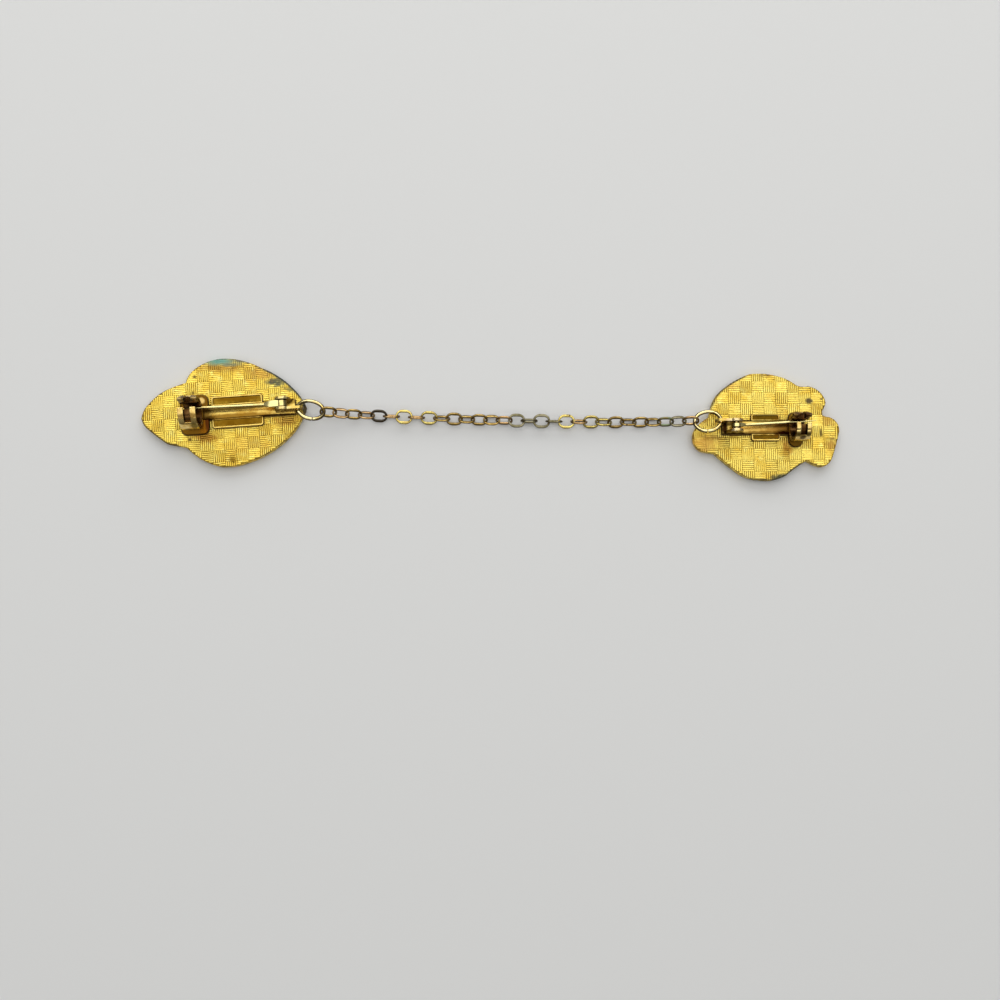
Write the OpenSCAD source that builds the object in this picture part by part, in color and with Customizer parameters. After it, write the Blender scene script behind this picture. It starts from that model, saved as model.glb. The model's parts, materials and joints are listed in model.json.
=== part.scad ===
// Tie chain: two gilt brooches joined by a fine flat cable chain.
// The brooches lie on their fronts, so that their woven backs, bar pins and
// catches face up. Millimetres, +Z up, +X along the chain from the left brooch
// to the right one, origin on the surface under the middle.

/* [Brooch plates] */
// Height of a plate's back above the surface that its front rests on
plate_h = 2; // [1.6:0.1:2.6]
// Radius of the front's shallow dome
dome_radius = 98; // [90:1:140]
// How far the dome is worn flat where the brooch rests on it
dome_flat = 0.3; // [0.2:0.05:0.4]
// Left plate's reference point along the chain
left_x = -55.8; // [-58:0.1:-54]
// Left plate's reference point across the chain
left_y = 1.3; // [0:0.1:3]
// Right plate's reference point along the chain
right_x = 59.2; // [58:0.1:62]
// Right plate's reference point across the chain
right_y = -1.2; // [-3:0.1:0]

/* [Left bar pin] */
// Hinge end of the bar, along the chain
left_bar_x = -42.75; // [-44:0.05:-42]
// Hinge end of the bar, across the chain
left_bar_y = 2.4; // [1.5:0.05:3]
// Turn of the bar
left_bar_turn = 4.6; // [0:0.1:8]
// Length of the bar
left_bar_len = 24.4; // [24:0.1:26]
// Where the wings start, from the hinge end
left_wing_at = 6.9; // [6:0.1:8]
// Length of the wings
left_wing_len = 10.7; // [8:0.1:11]
// Width across both wings
left_wing_span = 6.8; // [5.5:0.1:7.5]
// Middle of the catch, from the hinge end
left_catch_at = 21.3; // [21:0.1:22]
// Length of the catch's tube along the bar
left_tube_len = 3.7; // [3.4:0.1:4]
// Outer radius of the catch's tube
left_tube_r = 3.4; // [3.2:0.05:3.6]
// Foot of the catch, along the bar
left_foot_len = 5.8; // [5:0.1:6.4]
// Foot of the catch, across the bar
left_foot_span = 8.4; // [7.5:0.1:9]
// Pin's tip, from the hinge end
left_pin_tip = 22.2; // [20:0.1:23]
// End of the pin's flattened shank, from the hinge end
left_shank_end = 6.1; // [4:0.1:7]

/* [Right bar pin] */
// Hinge end of the bar, along the chain
right_bar_x = 49.35; // [49:0.05:50]
// Hinge end of the bar, across the chain
right_bar_y = -1.42; // [-2:0.05:-0.5]
// Turn of the bar
right_bar_turn = 0.4; // [-3:0.1:3]
// Length of the bar
right_bar_len = 18.1; // [17.9:0.1:19]
// Where the wings start, from the hinge end
right_wing_at = 6.4; // [6:0.1:7]
// Length of the wings
right_wing_len = 6.2; // [5:0.1:7]
// Width across both wings
right_wing_span = 5.8; // [5:0.1:6.5]
// Middle of the catch, from the hinge end
right_catch_at = 16.1; // [15.8:0.1:16.2]
// Length of the catch's tube along the bar
right_tube_len = 3.2; // [3:0.1:3.6]
// Outer radius of the catch's tube
right_tube_r = 2.95; // [2.9:0.05:3.2]
// Foot of the catch, along the bar
right_foot_len = 2.9; // [2.8:0.1:4]
// Foot of the catch, across the bar
right_foot_span = 7.4; // [6.8:0.1:8]
// Pin's tip, from the hinge end
right_pin_tip = 19.9; // [18:0.1:20.5]
// End of the pin's flattened shank, from the hinge end
right_shank_end = 4.4; // [4:0.1:6]

/* [Hinge and pin] */
// Height of the rivet above the plate
rivet_h = 3; // [2.8:0.1:3.2]
// Radius of the rivet
rivet_r = 0.45; // [0.4:0.05:0.5]
// Radial play of the pin's eye on the rivet
rivet_play = 0.05; // [0.03:0.01:0.08]
// Thickness of an ear
ear_t = 0.6; // [0.5:0.05:0.7]
// Radius of the hole in the linking ear
link_hole_r = 0.88; // [0.86:0.02:0.96]
// Radius of the pin's stem
stem_r = 0.31; // [0.26:0.01:0.32]

/* [Catch] */
// Sheet thickness of the catch's tube
tube_wall = 0.55; // [0.5:0.05:0.6]
// Sheet thickness of the turning sleeve
sleeve_wall = 0.45; // [0.4:0.05:0.5]
// Radial play between the tube and the sleeve
sleeve_play = 0.06; // [0.04:0.01:0.08]
// Width of the window that the thumb tab runs in
window_w = 1.35; // [1.3:0.05:1.5]
// Distance of the tube's axis from the bar's middle line
catch_offset = -0.5; // [-0.6:0.05:-0.4]

/* [Jump rings] */
// Outer diameter of a jump ring
ring_d = 6.3; // [6:0.1:6.6]
// Wire diameter of a jump ring
ring_wire = 0.73; // [0.65:0.01:0.75]
// Gap left where the ring was closed
ring_split = 0.12; // [0.08:0.02:0.2]

/* [Chain] */
// Number of links
link_count = 30; // [30:1:30]
// Distance from link to link, measured along the chain
link_pitch = 2.7; // [2.68:0.005:2.72]
// Outer length of a link
link_len = 3.76; // [3.74:0.01:3.8]
// Outer width of a link
link_w = 3.1; // [2.9:0.05:3.2]
// Width of a link's wire round its ends
link_wire = 0.44; // [0.4:0.01:0.46]
// Width of a link's flattened sides
link_side = 0.64; // [0.5:0.01:0.68]
// Thickness of a link's flattened wire
link_t = 0.42; // [0.36:0.01:0.44]
// First link's middle, along the chain
first_link_x = -35.62; // [-35.7:0.01:-35.55]

/* [Hidden] */
$fn = 48;

// Colours of the finishes
bright_gilt = [0.93, 0.74, 0.28];
brass_tone = [0.72, 0.53, 0.22];
worn_brass = [0.55, 0.38, 0.16];
ring_gilt = [0.80, 0.66, 0.34];
rosy_gilt = [0.74, 0.56, 0.42];
brown_gilt = [0.50, 0.40, 0.24];
bare_grey = [0.38, 0.37, 0.32];
verdigris = [0.42, 0.52, 0.42];

// One row of an outline: a corner of the edge, clockwise seen from the back,
// and how far the edge to the next corner bows outwards (inwards if negative)
CORNER_X = 0;
CORNER_Y = 1;
BOW = 2;
LEFT_OUTLINE = [
    [-10.4, 6.2, 0.30],
    [-8.6, 9.2, 0.56],
    [-2.3, 11.6, 0.48],
    [5.4, 9.7, 0.49],
    [12.6, 5.1, 0.26],
    [15.4, 1.0, 0.42],
    [12.1, -5.0, 0.58],
    [4.1, -10.5, 0.39],
    [-2.4, -11.8, 0.67],
    [-9.7, -7.8, 0],
    [-13.9, -7.0, 0.09],
    [-18.4, -3.6, 0.16],
    [-19.5, -1.6, 0.36],
    [-17.8, 1.8, 0.36],
    [-13.6, 5.0, 0.06],
];
RIGHT_OUTLINE = [
    [-12.1, 3.9, 0.40],
    [-9.7, 8.1, 0.35],
    [-3.4, 11.7, 0.35],
    [3.2, 11.2, 0.21],
    [6.9, 9.3, -0.18],
    [9.5, 9.1, 0.86],
    [13.3, 5.6, 0.13],
    [12.4, 3.6, -0.46],
    [13.3, 2.4, 0.96],
    [16.1, -0.8, 0.12],
    [14.2, -7.1, 0.39],
    [11.7, -8.7, 0.13],
    [8.8, -7.3, -0.14],
    [4.1, -10.6, 0.51],
    [-1.8, -11.6, 0.40],
    [-6.6, -9.9, 0.10],
    [-11.5, -5.9, 0],
    [-14.0, -5.6, 0.62],
    [-16.3, -2.7, 0.31],
    [-15.2, 0.1, 0.14],
    [-12.6, 2.1, 0],
];
edge_step = 0.9;
dome_facets = 400;
wedge_step = 30;

// One row of the findings' table: a bar pin's sizes, named above. A bar is built
// from its hinge end along +X with its mouth towards +Y; SIDE is -1 where it is
// mirrored, and LINK_EAR is 1 where the ear on the mouth's side holds the ring.
SIDE = 0;
BAR_X = 1;
BAR_Y = 2;
TURN = 3;
BAR_LEN = 4;
WING_AT = 5;
WING_LEN = 6;
WING_SPAN = 7;
CATCH_AT = 8;
TUBE_LEN = 9;
TUBE_R = 10;
FOOT_LEN = 11;
FOOT_SPAN = 12;
PIN_TIP = 13;
SHANK_END = 14;
LINK_EAR = 15;
HINGE_Y = 16;
EAR_APART = 17;
EYE_W = 18;
CATCH_PIN_Y = 19;
FOOT_Y = 20;
LEFT = [
    -1, left_bar_x, left_bar_y, left_bar_turn, left_bar_len,
    left_wing_at, left_wing_len, left_wing_span,
    left_catch_at, left_tube_len, left_tube_r, left_foot_len, left_foot_span,
    left_pin_tip, left_shank_end, -1, 0.35, 2.2, 1.4, 0.75, -0.2,
];
RIGHT = [
    1, right_bar_x, right_bar_y, right_bar_turn, right_bar_len,
    right_wing_at, right_wing_len, right_wing_span,
    right_catch_at, right_tube_len, right_tube_r, right_foot_len, right_foot_span,
    right_pin_tip, right_shank_end, 1, 0, 2.2, 0.9, 0.83, -0.5,
];

// Bar and wings
strip_t = 0.6;
strip_w = 3.0;
wing_floor = 0.35;
wing_rim = 0.3;
wing_corner = 0.5;

// Hinge: the ears stand on the bar's end, and one reaches on to hold the ring.
// The pin is sharpened from point_lead before the catch's tube
rivet_at = 2.4;
ear_foot_from = 0.3;
ear_foot_to = 4.3;
ear_top_r = 1.45;
link_hole_out = 0.8;
link_hole_h = 2.6;
link_ear_r = link_hole_r + 0.42;
rivet_head_r = 0.7;
rivet_head_t = 0.22;
eye_r = 1.1;
shank_drop = 0.35;
shank_taper = 1.2;
point_lead = 0.3;
point_r = 0.06;

// Catch: angles are measured about the tube's axis from +Y upwards
foot_t = 0.45;
foot_corner = 1.35;
tube_sink = 0.05;
mouth_from = 45;
mouth_to = 78;
sleeve_from = 41;
sleeve_to = 82;
sleeve_end_gap = 0.1;
window_from = -5;
window_to = 135;
lip_from = -10;
lip_out = 0.45;
lip_w = 4.6;
lip_round_r = 2.66;
tab_out = 0.35;
tab_w = 1.05;
tab_t = 0.45;
tab_angle = 28;
tab_inset = 0.1;
dimple_r = 0.2;
dimple_deep = 0.25;

// Jump rings: how each hangs from its ear
ring_mid_r = (ring_d - ring_wire) / 2;
ring_drop = 15;
left_ring_heading = -4;
left_ring_roll = -38;
right_ring_heading = 180;
right_ring_roll = 32;

// Chain: the links' shape, and the line that their middles follow
link_r = link_w / 2;
link_hollow_r = link_r - link_side;
link_chamfer = 0.11;
hollow_past = 0.1;
chain_low_x = 24;
chain_low_y = -0.25;
chain_bend = 0.00042;
// Height of a link's middle by its place from the chain's nearer end
LINK_RISE = [[0, 1.5], [1, 0.85], [2, 0.38], [3, 0.1], [4, 0]];
// Twist of the chain at each link; every second link is a quarter turn behind
LINK_TWIST = [
    55, 51, 58, 38, 42, 18, 12, 17, 29, 30,
    40, 40, 51, 53, 68, 86, 88, 98, 104, 102,
    114, 126, 129, 137, 127, 144, 134, 151, 146, 154,
];
// Tarnish of the links, in order: 0 bright, 1 rosy, 2 brown, 3 grey, 4 green
LINK_TONES = [
    2, 1, 2, 1, 3, 1, 0, 1, 0, 2,
    2, 2, 2, 2, 1, 3, 3, 3, 3, 0,
    1, 0, 0, 2, 2, 2, 2, 4, 3, 1,
];
TONES = [bright_gilt, rosy_gilt, brown_gilt, bare_grey, verdigris];

FIXED_NODES = [
    "left_brooch", "left_pin", "left_catch_sleeve", "left_jump_ring",
    "right_brooch", "right_pin", "right_catch_sleeve", "right_jump_ring",
];

function link_name(i) = str("link_", i < 10 ? "0" : "", i);

// Points of one bowed edge, from its first corner up to but not its last
function bowed_edge(p, q, bow) =
    let (
        chord = norm(q - p),
        out = [p.y - q.y, q.x - p.x] / chord,
        r = bow == 0 ? 0 : (chord * chord / 4 + bow * bow) / (2 * bow),
        centre = (p + q) / 2 + out * (bow - r),
        start = atan2(p.y - centre.y, p.x - centre.x),
        sweep = bow == 0 ? 0 : -sign(bow) * 2 * asin(chord / 2 / abs(r)),
        steps = bow == 0 ? 1 : ceil(chord / edge_step)
    )
    bow == 0 ? [p] : [
        for (k = [0:steps - 1])
            let (a = start + sweep * k / steps)
            centre + abs(r) * [cos(a), sin(a)]
    ];

function outline_points(rows) = [
    for (i = [0:len(rows) - 1])
        let (row = rows[i], next = rows[(i + 1) % len(rows)])
        each bowed_edge(
            [row[CORNER_X], row[CORNER_Y]],
            [next[CORNER_X], next[CORNER_Y]],
            row[BOW]
        )
];

// A place on a bar, given along and across it and above the plate
function on_bar(f, p) =
    let (x = f[SIDE] * p.x)
    [
        f[BAR_X] + x * cos(f[TURN]) - p.y * sin(f[TURN]),
        f[BAR_Y] + x * sin(f[TURN]) + p.y * cos(f[TURN]),
        plate_h + p.z
    ];

function tube_h(f) = foot_t - tube_sink + f[TUBE_R];
function sleeve_r(f) = f[TUBE_R] - tube_wall - sleeve_play;
function link_ear_y(f) = f[HINGE_Y] + f[LINK_EAR] * f[EAR_APART] / 2;
function link_hole(f) = on_bar(f, [-link_hole_out, link_ear_y(f), link_hole_h]);

// Middle of a link: it lies on the surface, except where it climbs to a ring
function from_end(i) = min(i - 1, link_count - i);
function twist(i) = LINK_TWIST[i - 1];
function lying_h(i) =
    let (c = abs(cos(twist(i))), s = abs(sin(twist(i))))
    link_w / 2 * max(c, s) + link_t / 2 * min(c, s);
function link_h(i) = lying_h(i) + lookup(from_end(i), LINK_RISE);
function link_x(i) = i <= 1
    ? first_link_x
    : link_x(i - 1) + sqrt(pow(link_pitch, 2) - pow(link_h(i) - link_h(i - 1), 2));
function link_place(i) =
    let (x = link_x(i))
    [x, chain_low_y + chain_bend * pow(x - chain_low_x, 2), link_h(i)];
function link_roll(i) = twist(i) - (i % 2 == 0 ? 90 : 0);

module rounded_rect(length, width, r) {
    square([length - 2 * r, width], center = true);
    square([length, width - 2 * r], center = true);
    for (x = [-1, 1], y = [-1, 1])
        translate([x * (length / 2 - r), y * (width / 2 - r)])
            circle(r);
}

// A flat wedge about the origin, used to open the catch's tube and sleeve
module wedge(from, to, reach) {
    steps = ceil((to - from) / wedge_step);
    polygon(concat(
        [[0, 0]],
        [
            for (k = [0:steps])
                let (a = from + (to - from) * k / steps)
                reach * [cos(a), sin(a)]
        ]
    ));
}

// Sets a flat shape across the bar and stretches it along the bar
module along_bar(length) {
    rotate([90, 0, 90])
        linear_extrude(length, center = true)
            children();
}

// Sets a flat side view of the hinge in place, centred on y
module side_sheet(y, thickness) {
    translate([0, y, 0])
        rotate([90, 0, 0])
            linear_extrude(thickness, center = true)
                children();
}

module on_left() {
    translate([LEFT[BAR_X], LEFT[BAR_Y], plate_h])
        rotate([0, 0, LEFT[TURN]])
            mirror([1, 0, 0])
                children();
}

module on_right() {
    translate([RIGHT[BAR_X], RIGHT[BAR_Y], plate_h])
        rotate([0, 0, RIGHT[TURN]])
            children();
}

module plate(rows) {
    intersection() {
        linear_extrude(plate_h)
            polygon(outline_points(rows));
        translate([0, 0, dome_radius - dome_flat])
            sphere(dome_radius, $fn = dome_facets);
    }
}

module wing_panels(f) {
    middle = f[WING_AT] + f[WING_LEN] / 2;
    difference() {
        translate([middle, 0, 0])
            linear_extrude(strip_t)
                rounded_rect(f[WING_LEN], f[WING_SPAN], wing_corner);
        translate([middle, 0, wing_floor])
            linear_extrude(strip_t)
                square([f[WING_LEN] - 2 * wing_rim, f[WING_SPAN] - 2 * wing_rim], center = true);
    }
}

module ear_profile() {
    translate([rivet_at, rivet_h])
        circle(ear_top_r);
    polygon([
        [ear_foot_from, strip_t / 2],
        [ear_foot_to, strip_t / 2],
        [rivet_at + ear_top_r, rivet_h],
        [rivet_at - ear_top_r, rivet_h],
    ]);
}

module link_ear_profile() {
    difference() {
        union() {
            ear_profile();
            translate([-link_hole_out, link_hole_h])
                circle(link_ear_r);
            translate([-link_hole_out, link_hole_h - link_ear_r])
                square([rivet_at + link_hole_out, 2 * link_ear_r]);
            translate([0, strip_t / 2])
                square([rivet_at, rivet_h]);
        }
        translate([-link_hole_out, link_hole_h])
            circle(link_hole_r);
    }
}

module hinge(f) {
    side_sheet(f[HINGE_Y] - f[LINK_EAR] * f[EAR_APART] / 2, ear_t)
        ear_profile();
    side_sheet(link_ear_y(f), ear_t)
        link_ear_profile();
    side_sheet(f[HINGE_Y], f[EAR_APART])
        translate([rivet_at, rivet_h])
            circle(rivet_r);
    for (side = [-1, 1])
        side_sheet(f[HINGE_Y] + side * (f[EAR_APART] + ear_t + rivet_head_t) / 2, rivet_head_t)
            translate([rivet_at, rivet_h])
                circle(rivet_head_r);
}

module tube_profile(f) {
    difference() {
        circle(f[TUBE_R]);
        circle(f[TUBE_R] - tube_wall);
        wedge(mouth_from, mouth_to, 2 * f[TUBE_R]);
    }
}

// The mouth's lower lip: thicker than the tube's wall, and wider at the mouth,
// where its ears are rounded off as seen from above
module mouth_lip(f) {
    reach = f[TUBE_R] + lip_out;
    ear_y = reach * cos(mouth_from) - sqrt(pow(lip_round_r, 2) - pow(lip_w / 2, 2));
    intersection() {
        along_bar(2 * lip_round_r)
            difference() {
                intersection() {
                    circle(reach);
                    wedge(lip_from, mouth_from, 2 * reach);
                }
                circle(f[TUBE_R] - tube_wall / 2);
            }
        translate([0, ear_y, 0])
            linear_extrude(2 * reach, center = true)
                circle(lip_round_r);
    }
}

module catch_tube(f) {
    difference() {
        union() {
            along_bar(f[TUBE_LEN])
                tube_profile(f);
            mouth_lip(f);
        }
        along_bar(window_w)
            wedge(window_from, window_to, 2 * f[TUBE_R]);
    }
}

module catch_foot(f) {
    translate([f[CATCH_AT], f[FOOT_Y], 0])
        linear_extrude(foot_t)
            rounded_rect(f[FOOT_LEN], f[FOOT_SPAN], foot_corner);
}

// Bar, wings, hinge ears and the catch's tube, as one piece of pressed sheet
module finding(f) {
    translate([0, -strip_w / 2, 0])
        cube([f[BAR_LEN], strip_w, strip_t]);
    wing_panels(f);
    hinge(f);
    catch_foot(f);
    translate([f[CATCH_AT], catch_offset, tube_h(f)])
        catch_tube(f);
}

// The pin's flattened shank, which slopes from the top of the eye to the stem
module pin_shank(length, width) {
    intersection() {
        translate([0, 0, -shank_drop])
            linear_extrude(shank_drop + eye_r)
                polygon([
                    [0, -width / 2],
                    [length - shank_taper, -width / 2],
                    [length, -stem_r],
                    [length, stem_r],
                    [length - shank_taper, width / 2],
                    [0, width / 2],
                ]);
        side_sheet(0, width)
            polygon([[0, -shank_drop], [length, -stem_r], [length, stem_r], [0, eye_r]]);
    }
}

// The pin that pierces the cloth: eye, flattened shank, stem and point
module bar_pin(f) {
    reach = f[CATCH_AT] - rivet_at;
    yaw = atan2(f[CATCH_PIN_Y] - f[HINGE_Y], reach);
    shank = f[SHANK_END] - rivet_at;
    sharp_at = reach - f[TUBE_LEN] / 2 - point_lead;
    tip_at = f[PIN_TIP] - rivet_at;
    translate([rivet_at, f[HINGE_Y], rivet_h])
        difference() {
            union() {
                rotate([90, 0, 0])
                    cylinder(h = f[EYE_W], r = eye_r, center = true);
                rotate([0, 0, yaw]) {
                    pin_shank(shank, f[EYE_W]);
                    rotate([0, 90, 0]) {
                        translate([0, 0, eye_r])
                            cylinder(h = sharp_at - eye_r, r = stem_r);
                        translate([0, 0, sharp_at])
                            cylinder(h = tip_at - sharp_at, r1 = stem_r, r2 = point_r);
                    }
                }
            }
            rotate([90, 0, 0])
                cylinder(h = 2 * f[EYE_W], r = rivet_r + rivet_play, center = true);
        }
}

module thumb_tab(f) {
    from = sleeve_r(f) - sleeve_wall + tab_inset;
    round_at = f[TUBE_R] + tab_out - tab_w / 2;
    rotate([tab_angle, 0, 0])
        difference() {
            union() {
                translate([-tab_w / 2, from, 0])
                    cube([tab_w, round_at - from, tab_t]);
                translate([0, round_at, 0])
                    cylinder(h = tab_t, r = tab_w / 2);
            }
            translate([0, round_at, tab_t - dimple_deep])
                cylinder(h = tab_t, r = dimple_r);
        }
}

// The sleeve that turns inside the tube and locks the pin in
module catch_sleeve(f) {
    translate([f[CATCH_AT], catch_offset, tube_h(f)]) {
        along_bar(f[TUBE_LEN] - 2 * sleeve_end_gap)
            difference() {
                circle(sleeve_r(f));
                circle(sleeve_r(f) - sleeve_wall);
                wedge(sleeve_from, sleeve_to, 2 * f[TUBE_R]);
            }
        thumb_tab(f);
    }
}

module jump_ring(hole, heading, roll, split_side) {
    translate(hole)
        rotate([0, ring_drop, heading])
            rotate([roll, 0, 0])
                translate([ring_mid_r, 0, 0])
                    difference() {
                        rotate_extrude()
                            translate([ring_mid_r, 0])
                                circle(ring_wire / 2);
                        translate([-ring_split / 2, split_side * ring_mid_r - ring_wire, -ring_wire])
                            cube([ring_split, 2 * ring_wire, 2 * ring_wire]);
                    }
}

// An oval block about the origin: its outline is a flat shape's reach, spun at
// both ends and stretched between them
module oval(straight) {
    for (end = [-1, 1])
        translate([end * straight / 2, 0, 0])
            rotate_extrude()
                children();
    along_bar(straight) {
        children();
        mirror([1, 0, 0])
            children();
    }
}

// A flat oval link of flattened wire, wider at its sides than round its ends
module link_loop() {
    top = link_t / 2;
    brim = top - link_chamfer;
    past = top + hollow_past;
    flare = link_hollow_r + link_chamfer + hollow_past;
    difference() {
        oval(link_len - link_w)
            polygon([
                [0, -top], [link_r - link_chamfer, -top], [link_r, -brim],
                [link_r, brim], [link_r - link_chamfer, top], [0, top],
            ]);
        oval(link_len - 2 * (link_wire + link_hollow_r))
            polygon([
                [0, -past], [flare, -past], [link_hollow_r, -brim],
                [link_hollow_r, brim], [flare, past], [0, past],
            ]);
    }
}

module chain_link(i) {
    before = link_place(max(i - 1, 1));
    after = link_place(min(i + 1, link_count));
    run = after - before;
    color(TONES[LINK_TONES[i - 1]])
        translate(link_place(i))
            rotate([link_roll(i), -atan2(run.z, norm([run.x, run.y])), atan2(run.y, run.x)])
                link_loop();
}

module left_brooch() {
    color(bright_gilt)
        translate([left_x, left_y, 0])
            plate(LEFT_OUTLINE);
    color(brass_tone)
        on_left()
            finding(LEFT);
}

module right_brooch() {
    color(bright_gilt)
        translate([right_x, right_y, 0])
            plate(RIGHT_OUTLINE);
    color(brass_tone)
        on_right()
            finding(RIGHT);
}

module left_pin() {
    color(ring_gilt)
        on_left()
            bar_pin(LEFT);
}

module right_pin() {
    color(ring_gilt)
        on_right()
            bar_pin(RIGHT);
}

module left_catch_sleeve() {
    color(worn_brass)
        on_left()
            catch_sleeve(LEFT);
}

module right_catch_sleeve() {
    color(worn_brass)
        on_right()
            catch_sleeve(RIGHT);
}

module left_jump_ring() {
    color(ring_gilt)
        jump_ring(link_hole(LEFT), left_ring_heading, left_ring_roll, -1);
}

module right_jump_ring() {
    color(ring_gilt)
        jump_ring(link_hole(RIGHT), right_ring_heading, right_ring_roll, 1);
}

left_brooch();
left_pin();
left_catch_sleeve();
left_jump_ring();
right_brooch();
right_pin();
right_catch_sleeve();
right_jump_ring();
for (i = [1:link_count])
    chain_link(i);
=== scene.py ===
# %% [markdown]
# # A chain between two brooches
# This lesson dresses a packed CAD model of a tie chain: two gilt brooches that
# lie on their fronts, with a fine cable chain between them. The CAD model gives
# every place and size. Blender adds the weave on the backs, the rounded edges of
# the pressed brass, the tarnish, and shade and highlights painted into the colour.

# %% Load the packed model
import json
import math
import random

import bmesh
import bpy
import numpy as np
from mathutils import Matrix, Vector


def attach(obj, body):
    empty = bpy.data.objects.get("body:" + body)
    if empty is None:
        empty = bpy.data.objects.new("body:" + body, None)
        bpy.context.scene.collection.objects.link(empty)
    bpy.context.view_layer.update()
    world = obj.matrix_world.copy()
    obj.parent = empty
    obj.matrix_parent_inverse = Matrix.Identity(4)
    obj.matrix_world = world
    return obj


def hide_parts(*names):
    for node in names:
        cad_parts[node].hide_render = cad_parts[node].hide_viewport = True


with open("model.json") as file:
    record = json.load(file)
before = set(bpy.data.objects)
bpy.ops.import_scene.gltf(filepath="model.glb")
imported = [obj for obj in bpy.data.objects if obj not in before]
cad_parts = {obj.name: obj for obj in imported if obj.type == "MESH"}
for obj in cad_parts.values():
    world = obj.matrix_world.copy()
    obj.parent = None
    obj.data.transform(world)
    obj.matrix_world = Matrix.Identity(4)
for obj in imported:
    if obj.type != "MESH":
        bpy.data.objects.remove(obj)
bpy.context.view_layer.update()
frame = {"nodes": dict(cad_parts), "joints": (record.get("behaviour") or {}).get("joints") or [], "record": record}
MM = 0.001

# %% [markdown]
# ## Millimetres, colours and finished pieces
# Jewellery is measured in millimetres, so each shape is drawn in millimetres and
# turned into metres when its mesh is finished. Colours are read off the photo as
# hex codes, and shaders want them linear. Each finished mesh gets its material,
# smooth shading that still breaks at real edges, and the CAD body that it rides on.

# %% Helpers for every piece
IN_MM = Matrix.Scale(MM, 4)
SHARP_ANGLE = 38
scene = bpy.context.scene


def tone(code):
    channels = [int(code[i:i + 2], 16) / 255 for i in (0, 2, 4)]
    linear = [c / 12.92 if c <= 0.04045 else ((c + 0.055) / 1.055) ** 2.4 for c in channels]
    return (*linear, 1)


def soften(bm, edges, width, segments=2):
    return bmesh.ops.bevel(
        bm, geom=list(edges), offset=width, offset_type="OFFSET", affect="EDGES",
        segments=segments, profile=0.5, material=-1, clamp_overlap=True,
    )["faces"]


def make_piece(name, bm, material, place, body, nodes=()):
    bmesh.ops.recalc_face_normals(bm, faces=bm.faces)
    bm.transform(place)
    if place.determinant() < 0:
        bmesh.ops.reverse_faces(bm, faces=bm.faces)
    mesh = bpy.data.meshes.new(name)
    bm.to_mesh(mesh)
    bm.free()
    mesh.shade_smooth()
    mesh.set_sharp_from_angle(angle=math.radians(SHARP_ANGLE))
    mesh.materials.append(material)
    piece = bpy.data.objects.new(name, mesh)
    scene.collection.objects.link(piece)
    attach(piece, body)
    if nodes:
        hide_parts(*nodes)
    print(f"{name}: {len(mesh.polygons)} faces")
    return piece


print("helpers ready, unit:", MM, "m")

# %% [markdown]
# ## Effects that several finishes share
# Old gilding is never one colour. Tarnish comes in soft clouds, dirt stays in the
# grooves, and single stains sit where damp got in. Some masks paint shade and light
# into the colour too: on steep faces, low on the catches, beside soldered pieces and
# where one part shades another. Each effect is a node group that gives one mask.
# Most of them read Object coordinates, so they stay put on the metal. One reads
# which way a face looks, and one reads the distance to the plate's edge that is kept
# with its mesh. Each material uses them with values of its own.

# %% Helpers for node trees
def step(tree, kind, feeds, out=0, **settings):
    """Adds a node. A feed is a socket to link to an input, or the input's value."""
    node = tree.nodes.new(f"ShaderNode{kind}")
    for key, value in settings.items():
        setattr(node, key, value)
    for label, feed in feeds.items():
        if isinstance(feed, bpy.types.NodeSocket):
            tree.links.new(feed, node.inputs[label])
        else:
            node.inputs[label].default_value = feed
    return node.outputs[out]


def number(tree, operation, *feeds):
    return step(tree, "Math", dict(enumerate(feeds)), operation=operation)


def vector(tree, operation, *feeds, out=0):
    return step(tree, "VectorMath", dict(enumerate(feeds)), out, operation=operation)


def object_place(tree):
    return step(tree, "TexCoord", {}, "Object")


def noise(tree, place, scale, detail=3.0, roughness=0.6):
    feeds = {"Vector": place, "Scale": scale, "Detail": detail, "Roughness": roughness}
    return step(tree, "TexNoise", feeds, "Fac")


def fade(tree, value, nothing_at, full_at):
    """A soft curve from 0 at one value to 1 at another."""
    feeds = {"Value": value, "From Min": nothing_at, "From Max": full_at}
    return step(tree, "MapRange", feeds, interpolation_type="SMOOTHSTEP")


def new_effect(name, **inputs):
    """Starts a node group with one mask as its output, and returns its inputs too."""
    group = bpy.data.node_groups.new(name, "ShaderNodeTree")
    for label, value in inputs.items():
        kind = "NodeSocketVector" if isinstance(value, tuple) else "NodeSocketFloat"
        label = label.replace("_", " ")
        group.interface.new_socket(label, in_out="INPUT", socket_type=kind).default_value = value
    group.interface.new_socket("Mask", in_out="OUTPUT", socket_type="NodeSocketFloat")
    return group, group.nodes.new("NodeGroupInput").outputs


def give_mask(group, mask):
    group.links.new(mask, group.nodes.new("NodeGroupOutput").inputs["Mask"])
    print("effect:", group.name)


print("node helpers ready")

# %% Clouds of tarnish
clouds, given = new_effect("clouds", Scale=300.0, From=0.45, To=0.6, Shift=(0, 0, 0))
place = vector(clouds, "ADD", object_place(clouds), given["Shift"])
mottle = noise(clouds, place, given["Scale"], detail=4.0)
give_mask(clouds, fade(clouds, mottle, given["From"], given["To"]))

# %% One ragged patch, for stains, painted shade and painted highlights
STAIN_END = 1.15


def in_turned_box(tree, place, given):
    """A place seen from the middle of a stain or box, turned back to its own axes."""
    away = vector(tree, "SUBTRACT", place, given["Centre"])
    feeds = {"Vector": away, "Angle": given["Turn"]}
    return step(tree, "VectorRotate", feeds, rotation_type="Z_AXIS")


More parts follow.
